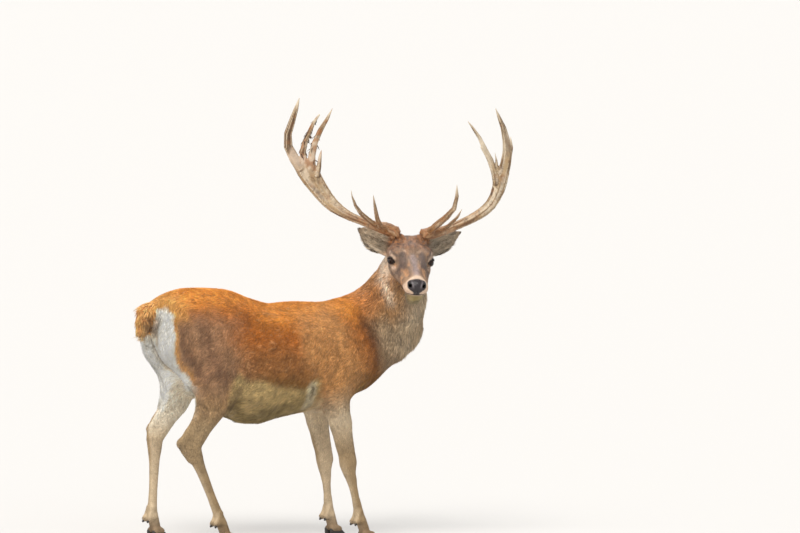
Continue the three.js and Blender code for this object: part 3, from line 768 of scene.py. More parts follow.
PALE_BAND = seen(236, 214, 188)
MUZZLE = seen(224, 194, 168)
CHIN = seen(168, 148, 106)
CHIN_HAIR = seen(208, 190, 150)
MOSS = seen(134, 116, 54)
NOSE = seen(54, 47, 49)
NOSE_SHINE = seen(136, 126, 128)
NOSTRIL_SHADE = seen(15, 12, 12)
EAR_BACK = seen(136, 112, 88)
EAR_INSIDE = seen(164, 142, 116)
EAR_HAIR = seen(226, 206, 176)
EAR_BLOT_AND_SHADE = seen(74, 56, 44)
EAR_EDGE = seen(40, 33, 29)


class Dye:
    """The colours of some points, to which shades are added one after another."""

    def __init__(self, shade):
        self.colour = shade

    def add(self, shade, share):
        self.colour = tint(self.colour, shade, share)

    def lighten(self, share):
        self.colour = self.colour * (1 + share)[:, None]


class Spots:
    """Points of the skin, with what their markings are worked out from."""

    def __init__(self, points, normals):
        x, y, z = points.T
        self.points, self.normals = points, normals
        self.regions = regions(points)
        self.broad = noise(points, 0.085, 1)
        self.small = noise(points, 0.028, 2)
        self.flat = points * (1, 0, 1)  # as seen from the side
        self.out = normals[:, 1] * np.sign(y)  # 1 where the skin faces away from the middle
        self.outside = ease(0.15, 0.45, self.out)
        self.rear = fade(-0.42, -0.17, x + 0.04 * self.broad + 0.25 * (z - 0.9))


def nose_pad(h):
    """How much a point of the head belongs to the bare skin of the nose."""
    f, l, u = h.T
    wide = mix(0.015, 0.044, ease(-0.030, -0.006, u)) - 0.011 * ease(0.010, 0.030, u)
    height = fade(0.030, 0.034, u + 0.014 * (l / 0.04) ** 2) * ease(-0.043, -0.038, u)
    return fade(-0.002, 0.002, np.abs(l) - wide) * height * ease(0.203, 0.211, f)


FACE_PATCHES = [  # colour, how strong, from a to b in the head's frame on its left side, radius
    (SMOKE_AND_SHADE, 0.50, (0.115, 0.030, 0.022), (0.170, 0.030, 0.018), 0.014),  # beside the bridge
    (DARK_FACE, 0.80, (0.080, 0.068, -0.006), (0.115, 0.060, -0.022), 0.020),  # below the eye
    (WARM_FACE, 0.75, (0.120, 0.040, 0.010), (0.155, 0.036, 0.006), 0.018),
    (EYE_RING, 0.45, (-0.045, 0.090, 0.038), (0.014, 0.030, 0.050), 0.010),  # the brow's upper edge
    (SMOKE_AND_SHADE, 0.80, (-0.022, 0.100, 0.036), (0.036, 0.070, 0.040), 0.007),
    (EYE_RING, 1.00, (-0.014, 0.096, 0.025), (0.030, 0.080, 0.024), 0.016),  # above the eye
    (EYE_RING, 0.85, (-0.002, 0.098, -0.026), (0.046, 0.078, -0.024), 0.014),  # below the eye
]


def face_markings(h, small):
    """The face, the same on both sides but for its fine strokes."""
    both = folded(h)
    f, l, u = both.T
    strokes = noise(h * (0.35, 1.0, 0.35), 0.0050, 7)
    blots = noise(h * (0.6, 1.0, 0.8), 0.012, 8)
    flecks = noise(h * (0.6, 1.0, 1.0), 0.0075, 14)
    haired = fade(0.15, 0.18, f)
    top = ease(-0.02, 0.03, u)
    crown = ease(-0.02, 0.02, -f) * top

    face = Dye(FACE)
    face.add(CHEEK, 0.80 * ease(0.050, 0.10, -u + 0.25 * (0.05 - f) + 0.008 * small))
    face.add(DARK_FACE, 0.65 * ease(0.05, 0.65, blots) * haired)
    face.add(WARM_FACE, 0.60 * ease(0.10, 0.70, -blots) * haired)
    face.add(CROWN, 0.85 * ease(-0.025, 0.03, -f + 0.016 * small) * top)
    face.add(TUFT, 0.75 * ease(0.035, 0.10, -f + 0.045 * small) * ease(0.010, 0.05, l) * top)
    face.add(DARK_CROWN_AND_SHADE, 0.60 * ease(0.0, 0.6, blots + 0.3 * strokes) * ease(0.01, 0.06, -f) * top)
    face.add(DARK_CROWN_AND_SHADE, 0.65 * ease(0.05, 0.5, flecks) * crown)
    face.add(WARM_FACE, 0.45 * ease(0.1, 0.6, -flecks) * crown)
    face.add(FOREHEAD, 0.60 * bump(l, 0, 0.034) * bump(f, -0.035, 0.045) * top)
    dark = patch(both, (0.030, 0.042, 0.040), (0.092, 0.044, 0.020), 0.026)
    face.add(SMOKE_AND_SHADE, 0.90 * dark * (0.75 + 0.35 * strokes))
    face.add(BRIDGE, bump(l, 0, 0.027) * ease(0.015, 0.05, f))
    for shade, share, a, b, radius in FACE_PATCHES:
        face.add(shade, share * patch(both, a, b, radius) * (0.85 + 0.35 * strokes))
    face.lighten(-0.15 * ease(0.0, 0.03, u) * haired)

    gap, out, away, *_ = lid_gap(both, 1)
    face.add(LID_RIM, (out > 0) * fade(0.030, 0.040, away) * fade(0.0034, 0.0070, gap))
    duct = distance(both, (0.030, 0.070, -0.009), (0.078, 0.051, -0.028))
    face.add(LID_RIM, 0.85 * fade(0.0015, 0.0050, duct))

    back = 0.40 * l * ease(-0.035, 0.0, u)
    face.add(MUZZLE, ease(0.170, 0.188, f - back + 0.003 * small))
    mouth = mouth_height(f)
    under = fade(-0.012, 0.0, u - mouth)
    face.add(CHIN, under * ease(0.10, 0.15, f))
    face.add(MOSS, 0.5 * under * patch(both, (0.22, 0.0, -0.066), (0.20, 0.0, -0.082), 0.026))
    # painted shadow of the jaw on the sides of the chin
    face.add(SMOKE_AND_SHADE, 0.45 * under * ease(0.12, 0.15, f) * ease(0.026, 0.044, l))
    face.add(CHIN_HAIR, 0.7 * under * ease(0.080, 0.10, -u) * ease(-0.4, 0.5, strokes))
    face.add(NOSE, np.exp(-(((u - mouth) / 0.0032) ** 2)) * ease(0.12, 0.15, f))
    pad = nose_pad(h)
    face.add(NOSE, pad)
    shine = bump(l, 0.018 + 0.35 * np.maximum(u, 0), 0.008) * bump(u, 0.008, 0.018)
    face.add(NOSE_SHINE, 0.7 * shine * pad)
    # painted shade inside the nostrils
    hole = distance(both, (0.236, 0.035, 0.005), (0.205, 0.028, -0.004))
    face.add(NOSTRIL_SHADE, fade(0.009, 0.014, hole))
    face.lighten(0.24 * strokes * haired)
    return face


def mark_ears(face, points, level_normal):
    for side, (root, tip) in EARS.items():
        along, own = ear_place(points, side)
        inside = ease(0.05, 0.4, level_normal @ EAR_OPENS[side].astype(np.float32))
        across = np.cross(unit(tip - root), EAR_OPENS[side])
        sideways = (in_level(points) - root) @ across.astype(np.float32)
        wide = np.abs(sideways)
        streaks = noise(np.stack([along * 0.05, sideways, 0 * along], 1), 0.008, 5)
        ear = Dye(EAR_BACK)
        ear.add(EAR_INSIDE, inside)
        ear.add(EAR_HAIR, inside * 0.60 * ease(-0.5, 0.6, streaks + 0.4 - 0.8 * along))
        ear.add(EAR_BLOT_AND_SHADE, 0.60 * ease(0.05, 0.6, noise(points, 0.014, 10)))
        # painted shade in the middle of the ear's bowl
        ear.add(EAR_BLOT_AND_SHADE, 0.75 * inside * bump(sideways, 0.006, 0.020) * bump(along, 0.42, 0.26))
        pale = inside * bump(wide, 0.030, 0.014) * ease(0.15, 0.3, along) * fade(0.6, 0.85, along)
        ear.add(EAR_HAIR, 0.55 * pale * ease(-0.6, 0.3, streaks))
        outline = 0.051 * np.sqrt(np.clip(1 - ((along - 0.5) / 0.56) ** 2, 0.02, 1))
        rim = ease(-0.012, -0.004, wide - outline) * ease(0.2, 0.35, along)
        ear.add(EAR_EDGE, 0.8 * np.maximum(rim, ease(0.93, 1.0, along)))
        face.add(ear.colour, own)


def mark_trunk(coat, at):
    x, _, z = at.points.T
    nz = at.normals[:, 2]
    height = z + 0.016 * at.broad
    coat.add(FLANK, ease(0.72, 0.84, height))
    coat.add(RUST, ease(0.84, 0.99, height))
    # the back's own orange, with painted top light where the hair faces up
    coat.add(BACK_WITH_TOP_LIGHT, 0.85 * ease(0.20, 0.85, nz) * ease(0.94, 1.05, z))
    shoulder = distance(at.flat, (0.21, 0, 0.96), (0.28, 0, 0.78))
    coat.add(SHOULDER, 0.9 * fade(0.08, 0.21, shoulder + 0.03 * at.broad))
    coat.add(HAUNCH, at.rear * ease(0.60, 0.72, z) * fade(1.00, 1.11, z + 0.03 * at.broad))
    coat.add(BUFF, at.rear * fade(0.60, 0.80, z))
    edge_z = 0.722 + 0.034 * ease(0.03, -0.20, x)
    edge_z = edge_z + 0.040 * bump(x, 0.14, 0.07) + 0.03 * bump(x, -0.28, 0.06)
    pale = fade(-0.020, 0.026, height - edge_z) * ease(-0.34, -0.29, x) * fade(0.15, 0.21, x)
    coat.add(tint(CREAM, SHADED_CREAM, fade(0.60, 0.70, z)), pale)
    coat.add(CREAM, 0.6 * (fade(-0.75, -0.45, nz) * ease(0.1, 0.2, x) * fade(0.40, 0.5, x)))
    glints = ease(0.35, 0.8, noise(at.points * (0.5, 1, 1), 0.011, 13)) * ease(0.74, 0.84, z)
    coat.add(GLINT, 0.42 * at.outside * glints * ease(-0.40, -0.25, x) * fade(0.25, 0.42, x))
    coat.lighten(0.16 * noise(at.points * (0.4, 1, 1), 0.009, 12))
    fold = patch(at.flat, (0.128, 0, 0.735), (0.150, 0, 0.650), 0.040)
    coat.add(FOLD, 0.85 * fold * at.outside)
    # painted shade in the crease where the elbow folds the skin
    slit = patch(at.flat, (0.133, 0, 0.735), (0.150, 0, 0.672), 0.009)
    coat.add(PAINTED_SHADE, 0.7 * slit * at.outside)  # where the elbow folds the skin


def mark_neck(coat, at):
    x, _, z = at.points.T
    neck = Dye(NECK_SIDE)
    neck.add(NECK_FRONT, at.regions["throat"])
    ridge = ease(0.05, 0.75, at.normals @ np.array([-0.70, 0.1, 0.70], np.float32))
    neck.add(NECK_RIDGE, ridge * ease(0.0, 0.3, 1.32 - z))
    coat.add(neck.colour, at.regions["neck"])
    streak = distance(folded(at.points), (0.43, 0.13, 1.03), (0.53, 0.15, 0.86))
    coat.add(NECK_STREAK, 0.75 * np.exp(-((streak / 0.040) ** 2)))
    chest = ease(0.84, 0.93, x + 0.40 * z + 0.03 * at.broad)
    coat.add(CHEST, 0.80 * chest * ease(0.74, 0.82, z) * fade(1.0, 1.10, z))


def mark_legs(coat, at):
    x, _, z = at.points.T
    nx = at.normals[:, 0]
    leg = Dye(LEG)
    leg.add(PALE_LEG, 0.7 * ease(0.1, 0.8, -at.out))
    leg.add(PALE_LEG, 0.45 * ease(0.2, 0.9, -nx) * fade(0.3, 0.42, z))
    leg.add(DARK_LEG, 0.5 * ease(0.3, 0.9, nx) * ease(0.15, 0.35, z))
    leg.add(DARK_LEG, 0.75 * fade(0.055, 0.125, z + 0.01 * at.small))
    leg.add(PALE_LEG, 0.95 * bump(z, 0.60, 0.19) * ease(0.1, 0.2, x))
    reach = z + 0.03 * at.broad + 0.3 * np.abs(x - 0.34)
    fore = ease(0.1, 0.2, x) * fade(0.56, 0.80, reach)
    coat.add(leg.colour, np.maximum(at.regions["limb"] * fade(0.52, 0.68, z), fore))


def mark_rump(coat, at):
    x, y, z = at.points.T
    nx = at.normals[:, 0]
    back = -nx + 0.05 * at.broad + 0.04 * at.small + 0.17 * ease(0.95, 0.72, z)
    behind = fade(-0.52, -0.46, x)
    edge = bump(back, 0.24, 0.17) * ease(0.70, 0.80, z) * fade(1.0, 1.08, z)
    coat.add(HAUNCH_EDGE, 0.6 * edge * at.rear)
    # painted shadow in the fold ahead of the stifle
    stifle = patch(at.flat, (-0.272, 0, 0.715), (-0.295, 0, 0.640), 0.034)
    coat.add(PAINTED_SHADE, 0.55 * stifle * at.outside)
    groin = patch(at.flat, (-0.205, 0, 0.670), (-0.170, 0, 0.620), 0.045)
    coat.add(CREAM, 0.7 * groin * at.outside)
    coat.add(GOLD, 0.85 * ease(0.36, 0.53, back) * ease(0.66, 0.80, z) * behind)
    coat.add(GOLD, 0.85 * fade(-0.62, -0.50, x - 0.03 * at.small) * ease(0.99, 1.06, z))
    thigh = ease(0.10, 0.45, -at.out) * ease(0.46, 0.58, z) * fade(0.80, 0.9, z)
    coat.add(INNER_THIGH, 0.92 * at.rear * thigh)
    coat.add(WHITE, ease(0.53, 0.64, back) * ease(0.56, 0.66, z) * fade(1.085, 1.115, z) * behind)
    # painted shade in the crease beside the tail
    beside = bump(np.abs(y), 0.056, 0.020) * bump(z, 0.99, 0.13) * ease(0.56, 0.60, -x)
    coat.add(PAINTED_SHADE, 0.95 * beside * (1 - at.regions["tail"]))
    # painted shade down the cleft between the buttocks
    cleft = np.exp(-((y / 0.012) ** 2)) * ease(0.66, 0.74, z) * fade(0.93, 0.98, z)
    coat.add(PAINTED_SHADE, 0.85 * cleft * behind * ease(0.2, 0.5, -nx))


def mark_tail(coat, at):
    x, y, z = at.points.T
    strands = noise(at.points * (1, 1, 0.2), 0.006, 11)
    tail = Dye(GINGER)
    tail.add(RUSSET, 0.75 * ease(-0.1, 0.5, strands))
    tail.add(CREAM, 0.65 * fade(0.945, 1.03, z + 0.02 * strands))
    tail.add(WHITE, 0.8 * ease(0.0, 0.6, at.normals[:, 0]))
    # painted shade on the sides of the tail near its root, where it meets the rump
    tail.add(DARK_CROWN_AND_SHADE, 0.75 * ease(0.010, 0.036, np.abs(y)) * bump(z, 1.02, 0.08))
    coat.add(tail.colour, at.regions["tail"])
    pouch = fade(0.030, 0.036, np.hypot(x + 0.43, y)) * fade(0.755, 0.765, z) * ease(0.66, 0.67, z)
    coat.add(WHITE, 0.9 * pouch)


def mark_head(coat, at):
    h = in_face(at.points)
    head = at.regions["head"] > 0
    face = face_markings(h[head], at.small[head])
    mark_ears(face, at.points[head], at.normals[head] @ LEVEL_AXES)
    coat.colour[head] = tint(coat.colour[head], face.colour, at.regions["head"][head])
    upper = distance(folded(h), (-0.080, 0.108, -0.050), (0.008, 0.112, -0.085))
    lower = distance(folded(h), (0.008, 0.112, -0.085), (0.062, 0.080, -0.165))
    band = np.exp(-((np.minimum(upper, lower + 0.004) / 0.028) ** 2)) * (1 - at.regions["ears"])
    strokes = noise(at.points * (1, 1, 0.25), 0.006, 9)
    coat.add(PALE_BAND, 0.85 * band * ease(-1.0, 0.3, strokes))  # runs down behind the jaw


def markings(points, normals):
    """The colour of the skin and of the coat over it."""
    at = Spots(points, normals)
    coat = Dye(LOW_FLANK)
    for mark in (mark_trunk, mark_neck, mark_legs, mark_rump, mark_tail, mark_head):
        mark(coat, at)
    coat.lighten(0.10 * at.broad + 0.12 * at.small + 0.08 * noise(points, 0.010, 3))
    return coat.colour


# ---------- the lie of the coat ----------
def lie(points, normals, r):
    """The way the hair points, along the skin."""
    x, _, z = points.T
    count = len(points)

    def towards(way, vector, share):
        return tint(way, np.asarray(vector, float), share)

    way = np.array([-1.0, 0.0, -0.12])
    flank = ease(0.2, 0.8, np.abs(normals[:, 1]))
    way = towards(way, [-1.0, 0.0, -0.75], flank * fade(0.95, 1.1, z))
    way = towards(way, [-0.75, 0.0, -1.0], ease(0.26, 0.36, x) * flank)
    way = towards(way, [-0.55, 0.0, -1.0], fade(-0.36, -0.24, x) * ease(0.1, 0.5, 1.12 - z))
    way = towards(way, [-0.2, 0.0, -1.0], fade(-0.62, -0.50, x))
    way = towards(way, [-0.42, 0.06, -0.9], r["neck"])
    way = towards(way, [-0.12, 0.0, -1.0], r["throat"])
    way = towards(way, [-0.10, 0.0, -1.0], r["limb"])
    way = towards(way, [-0.12, 0.0, -1.0], r["tail"])
    h = in_head(points)
    down = -0.30 * ease(0.0, 0.06, -h[:, 2]) + 0.15 * ease(0.02, 0.06, h[:, 2])
    aside = 0.25 * np.sign(h[:, 1]) * ease(0.01, 0.05, np.abs(h[:, 1]))
    face = np.stack([-np.ones(count), aside, down], 1)
    beard = ease(0.13, 0.18, h[:, 0]) * fade(-0.070, -0.055, h[:, 2])
    face = tint(face, np.array([-0.45, 0.0, -1.0]), beard)
    way = tint(way, face @ HEAD_AXES.T, r["head"])
    for which, (root, tip) in EARS.items():
        own = ear_place(points, which)[1] * r["head"]
        way = towards(way, unit(tip - root) @ LEVEL_AXES.T, own)
    turn = 0.55 * noise(points, 0.045, 21) + 0.35 * noise(points, 0.016, 22)
    turn = turn * mix(1.0, 0.45, np.maximum(r["head"], r["limb"]))
    way = unit(way - normals * np.sum(way * normals, 1)[:, None])
    across = np.cross(normals, way)
    return way * np.cos(turn)[:, None] + across * np.sin(turn)[:, None]


# ---------- tufts ----------
PATCH = 0.003  # of the OFBake map, for each tuft
SUNK = 0.8  # how deep a tuft starts under the skin, in millimetres
SPIKE = {  # corners as shares: across, along, and above the root, and the faces between them
    "corners": [(-0.5, 0.0, 0.0), (0.5, 0.0, 0.0), (0.0, 0.02, 0.45), (0.0, 1.0, 0.0)],
    "faces": [(0, 1, 3), (1, 2, 3), (2, 0, 3), (0, 2, 1)],
    "map": [(-0.5, 0.0), (0.5, 0.0), (0.0, 0.35), (0.0, 1.0)],
}
LOCK = {
    "corners": [
        (-0.5, 0.0, 0.0), (0.5, 0.0, 0.0), (0.0, 0.02, 0.5),
        (-0.42, 0.5, 0.0), (0.42, 0.5, 0.0), (0.0, 0.5, 0.42), (0.0, 1.0, 0.0),
    ],
    "faces": [
        (0, 2, 1), (0, 1, 4), (0, 4, 3), (1, 2, 5), (1, 5, 4), (2, 0, 3), (2, 3, 5),
        (3, 4, 6), (4, 5, 6), (5, 3, 6),
    ],
    "map": [
        (-0.5, 0.0), (0.5, 0.0), (0.0, 0.3), (-0.45, 0.5), (0.45, 0.5), (0.0, 0.65), (0.0, 1.0),
    ],
}


def chart(points, normals, groups):
    """Where each root lies on an unwrap of the skin in flat charts that fill the unit square."""
    axis = np.argmax(np.abs(normals), 1)
    facing = normals[np.arange(len(normals)), axis] > 0
    keys = groups * 6 + axis * 2 + facing
    names = np.unique(keys)
    columns = math.ceil(math.sqrt(len(names)))
    rows = math.ceil(len(names) / columns)
    uv = np.zeros((len(points), 2), np.float32)
    for i, key in enumerate(names):
        mine = keys == key
        flat = points[mine][:, [a for a in range(3) if a != axis[mine][0]]]
        low, span = flat.min(0), np.maximum(np.ptp(flat, axis=0), 1e-6)
        place = 0.02 + 0.96 * (flat - low) / span
        uv[mine] = (place + [i % columns, i // columns]) / [columns, rows]
    return uv * 0.99 + 0.003


def tufts(name, slot, kind, roots, normals, way, long, wide, rise, colour, tips, groups, thin=0.4):
    """One object of many closed tufts. `tips` is each tip's brightness beside its root's."""
    corners = np.array(kind["corners"])
    count, size = len(roots), len(corners)
    across = np.cross(normals, way)
    share = corners[:, 1]
    lift = 1 - (1 - share) ** 2 if size > 4 else share
    curl = rng.normal(0, 0.10, count)[:, None] * share ** 2
    above = thin * corners[:, 2]
    start = roots - normals * SUNK * MM
    points = (
        start[:, None, :]
        + way[:, None, :] * (long[:, None] * share)[:, :, None]
        + normals[:, None, :] * (rise[:, None] * lift + wide[:, None] * above)[:, :, None]
        + across[:, None, :] * (wide[:, None] * corners[:, 0] + long[:, None] * curl)[:, :, None]
    )
    faces = (np.array(kind["faces"])[None] + (np.arange(count) * size)[:, None, None]).reshape(-1, 3)
    obj = mesh_object(name, points.reshape(-1, 3), [faces])
    shade = mix(0.95, tips[:, None], share)
    paint(obj.data, (colour[:, None, :] * shade[:, :, None]).reshape(-1, 3))
    uv = chart(roots, normals, groups)
    spread = uv[:, None, :] + PATCH * np.array(kind["map"])[None]
    spread = spread.reshape(-1, 2).astype(np.float32)
    layer = obj.data.uv_layers.new(name="OFBake")
    layer.data.foreach_set("uv", spread[faces.ravel()].ravel())
    obj.data.materials.append(coat_material)
    return rides(obj)


MOST = 196_000  # triangles in one piece


def shared_out(name, slot, kind, pick, coat, tips, thin=0.4):
    """The tufts in `pick`, as pieces of at most MOST triangles, cut along the length of the stag."""
    chosen = np.nonzero(pick)[0]
    chosen = chosen[np.argsort(coat["roots"][chosen][:, 0], kind="stable")]
    parts = math.ceil(len(chosen) * len(kind["faces"]) / MOST)
    for number, part in enumerate(np.array_split(chosen, parts)):
        label = f"{name}_{number + 1}" if parts > 1 else name
        own = {key: value[part] for key, value in coat.items()}
        tufts(label, slot, kind, tips=tips[part], thin=thin, **own)


def scattered(density):
    """Roots all over the skin, `density(points)` of them to the square metre."""
    mesh = skin.data
    corners = triangles_of(mesh)
    places, facing = points_of(mesh), normals_of(mesh)
    a, b, c = (places[corners[:, k]] for k in range(3))
    area = np.linalg.norm(np.cross(b - a, c - a), axis=1) / 2
    total = np.cumsum(area * density((a + b + c) / 3))
    count = int(total[-1])
    which = np.searchsorted(total, (np.arange(count) + rng.random(count)) / count * total[-1])
    which = np.minimum(which, len(corners) - 1)
    s, t = rng.random(count), rng.random(count)
    flip = s + t > 1
    s, t = np.where(flip, 1 - s, s), np.where(flip, 1 - t, t)
    shares = np.stack([1 - s - t, s, t], 1)[:, :, None]
    roots = (places[corners[which]] * shares).sum(1)
    normals = unit((facing[corners[which]] * shares).sum(1)).astype(np.float32)
    return roots.astype(np.float32), normals


def bare(h):
    """True where no hair grows: the nose, the eyes, the lips and the nostrils."""
    nothing = nose_pad(h) > 0.3
    for side in SIDES:
        gap, out, away, *_ = lid_gap(h, side)
        nothing |= (gap < 0.0012) & (out > 0) & (away < 0.035)
        own = mirrored(h, side)
        for (a, ra), (b, rb) in zip(NOSTRIL, NOSTRIL[1:]):
            nothing |= distance(own, a, b) < (max(ra, rb) + 1.5) * MM
    f, _, u = h.T
    return nothing | ((np.abs(u - mouth_height(f)) < 0.0022) & (f > 0.13))


def ear_bowls(roots, normals):
    """How much each root is in the bowl of an ear, where the hair is long."""
    bowls = np.zeros(len(roots))
    for which, opens in EAR_OPENS.items():
        along, own = ear_place(roots, which)
        front = ease(0.1, 0.5, normals @ LEVEL_AXES @ opens.astype(np.float32))
        bowls = np.maximum(bowls, own * front * fade(0.65, 0.9, along))
    return bowls


def tuft_lengths(roots, normals, h, r, bowls):
    """The mean length of the tufts about each root, in millimetres."""
    crown = r["head"] * bump(h[:, 0], -0.075, 0.07) * ease(0.02, 0.06, h[:, 2]) * (1 - r["ears"])
    jowl = r["head"] * ease(0.03, 0.10, -h[:, 0]) * ease(0.0, 0.05, -h[:, 2])
    fetlock = r["limb"] * bump(roots[:, 2], 0.115, 0.035) * ease(0.2, 0.8, -normals[:, 0])
    chin = r["head"] * ease(0.13, 0.17, h[:, 0]) * fade(-0.062, -0.052, h[:, 2])
    long = coat_number(LENGTH, r)
    for length, where in [(13, crown), (20, jowl), (20, bowls), (17, fetlock), (30, chin)]:
        long = mix(long, length, where)
    return long


def grow_coat():
    roots, normals = scattered(lambda points: coat_number(DENSITY, regions(points), 1000.0))
    r = regions(roots)
    h = in_face(roots)
    keep = ~(bare(h) & (r["head"] > 0.2))
    roots, normals, h = roots[keep], normals[keep], h[keep]
    r = {key: value[keep] for key, value in r.items()}
    x, y, _ = roots.T
    way = lie(roots, normals, r).astype(np.float32)
    bowls = ear_bowls(roots, normals)
    long = tuft_lengths(roots, normals, h, r, bowls)
    wide = coat_number(WIDTH, r)
    clump = noise(roots, 0.022, 31)
    long = long * (1 + 0.18 * clump) * rng.uniform(0.75, 1.25, len(roots)) * MM
    wide = wide * rng.uniform(0.8, 1.2, len(roots)) * MM
    rise = coat_number(DEPTH, r, MM) * rng.uniform(0.45, 1.0, len(roots)) + 4 * MM * bowls
    colour = markings(roots, normals)
    strand = rng.normal(0, 0.20, len(roots)) + 0.20 * clump + 0.16 * noise(roots, 0.008, 33)
    strand = np.clip(strand * (1 + 0.3 * r["neck"]), -0.6, 0.8)
    colour = colour * (1 + strand)[:, None]
    colour = tint(colour, EAR_HAIR, bowls * (rng.random(len(roots)) < 0.4) * 0.8)
    tips = rng.uniform(1.05, 1.55, len(roots)) + 0.2 * r["throat"] - 0.2 * r["head"]
    groups = np.zeros(len(roots), int)
    limb = r["limb"] > 0.5
    groups[limb] = 1 + 2 * (x[limb] > 0) + (y[limb] > 0)
    coat = {
        "roots": roots, "normals": normals, "way": way, "long": long, "wide": wide, "rise": rise,
        "colour": colour, "groups": groups,
    }
    head = r["head"] > 0.5
    tail = (r["tail"] > 0.5) & ~head
    mane = (r["neck"] > 0.5) & ~head
    legs = limb & ~head & ~tail & ~mane
    trunk = ~(head | tail | mane | legs)
    shared_out("coat_trunk", "body_coat", SPIKE, trunk, coat, tips)
    shared_out("coat_neck", "body_coat", LOCK, mane, coat, tips)
    shared_out("coat_legs", "leg_coat", SPIKE, legs, coat, tips)
    shared_out("coat_head", "face_coat", SPIKE, head, coat, tips)
    shared_out("coat_tail", "tail_coat", LOCK, tail, coat, tips)


# ---------- materials ----------
def nodes_of(name, **settings):
    """A material with its constant settings on the shader, and its node tree."""
    material = bpy.data.materials.new(name)
    material.use_nodes = True
    tree = material.node_tree
    shader = tree.nodes["Principled BSDF"]
    for key, value in settings.items():
        shader.inputs[key.replace("_", " ")].default_value = value
    return material, tree, shader


def node(tree, kind, inputs=(), **settings):
    made = tree.nodes.new(kind)
    for key, value in settings.items():
        setattr(made, key, value)
    for key, value in dict(inputs).items():
        if isinstance(value, bpy.types.NodeSocket):
            tree.links.new(value, made.inputs[key])
        else:
            made.inputs[key].default_value = value
    return made


def speckle(tree, scale, detail=2.0, stretch=(1, 1, 1)):
    """Noise in the row frame, as a socket from 0 to 1."""
    place = node(tree, "ShaderNodeTexCoord").outputs["Object"]
    place = node(tree, "ShaderNodeMapping", {"Vector": place, "Scale": stretch}).outputs["Vector"]
    made = node(tree, "ShaderNodeTexNoise", {"Vector": place, "Scale": scale, "Detail": detail})
    return made.outputs["Fac"]


def varied(tree, colour, factor, low, high):
    """A colour made darker or lighter by a factor from 0 to 1."""
    spread = node(tree, "ShaderNodeMapRange", {"Value": factor, "To Min": low, "To Max": high})
    shares = {0: colour, "Scale": spread.outputs["Result"]}
    scaled = node(tree, "ShaderNodeVectorMath", shares, operation="SCALE")
    return scaled.outputs["Vector"]


def raised(tree, shader, height, depth, strength=1.0):
    """Bumps of a depth in metres, from a height from 0 to 1."""
    made = node(tree, "ShaderNodeBump", {"Height": height, "Distance": depth, "Strength": strength})
    tree.links.new(made.outputs["Normal"], shader.inputs["Normal"])


def painted(name, low, high, scale, **settings):
    """A material whose colour is stored in the mesh, with fine variation."""
    material, tree, shader = nodes_of(name, **settings)
    stored = node(tree, "ShaderNodeAttribute", attribute_name="tint").outputs["Color"]
    tree.links.new(varied(tree, stored, speckle(tree, scale, 3), low, high), shader.inputs["Base Color"])
    return material, tree, shader


def make_skin_material():
    """Short fur that lies flat, and the wet skin of the nose where `wet` is 1."""
    material, tree, shader = painted("skin", 0.70, 1.15, 380, Specular_IOR_Level=0.35)
    wet = node(tree, "ShaderNodeAttribute", attribute_name="wet").outputs["Fac"]
    rough = node(tree, "ShaderNodeMapRange", {"Value": wet, "To Min": 0.75, "To Max": 0.24})
    tree.links.new(rough.outputs["Result"], shader.inputs["Roughness"])
    hair = speckle(tree, 900, 2, (1, 1, 0.25))
    place = node(tree, "ShaderNodeTexCoord").outputs["Object"]
    pebbles = node(tree, "ShaderNodeTexVoronoi", {"Vector": place, "Scale": 520}).outputs["Distance"]
    both = node(tree, "ShaderNodeMix", {"Factor": wet, "A": hair, "B": pebbles}).outputs["Result"]
    raised(tree, shader, both, 0.0008, 0.6)
    return material


coat_look = {"Roughness": 0.62, "Specular_IOR_Level": 0.28, "Sheen_Weight": 0.12, "Sheen_Roughness": 0.5}
coat_material, _, _ = painted("coat", 0.82, 1.16, 420, **coat_look)
skin_material = make_skin_material()


def dressed(obj, colours, material, replaced):
    """Colours, material and the nodes it stands for, for a piece that isn't tufts."""
    paint(obj.data, colours)
    obj.data.polygons.foreach_set("use_smooth", np.ones(len(obj.data.polygons), bool))
    obj.data.materials.clear()
    obj.data.materials.append(material)
    return rides(obj, replaced)


# ---------- antlers ----------
BONE = seen(168, 142, 106)
STAIN = seen(76, 52, 34)
IVORY = seen(234, 220, 196)
RUSTY = seen(154, 98, 46)
PALM = seen(212, 190, 166)
VELVET = seen(92, 66, 46)
PEDICLES = {  # the feet of the antlers, above the level head
    "right": np.array([-0.064, -0.078, 0.130]),
    "left": np.array([-0.064, 0.072, 0.130]),
}


def antler_nodes(side):
    return [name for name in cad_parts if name.startswith(f"antler_{side}_")]


def largest(points, faces):
    """Only the biggest of the separate bodies of a mesh."""
    links = np.concatenate([f[:, [k, (k + 1) % f.shape[1]]] for f in faces for k in range(f.shape[1])])
    label = np.arange(len(points))
    while True:
        new = label.copy()
        np.minimum.at(new, links[:, 0], label[links[:, 1]])
        np.minimum.at(new, links[:, 1], label[links[:, 0]])
        new = new[new]
        if (new == label).all():
            break
        label = new
    names, counts = np.unique(label, return_counts=True)
    keep = label == names[np.argmax(counts)]
    place = np.cumsum(keep) - 1
    return points[keep], [place[f[keep[f[:, 0]]]] for f in faces]


def within(points, node_name):
    """1 inside the box of a node, falling to 0 about 6 mm outside it."""
    low, high = corners_of(node_name)
    return fade(0.0, 0.006, np.max(np.maximum(low - points, points - high), axis=1))


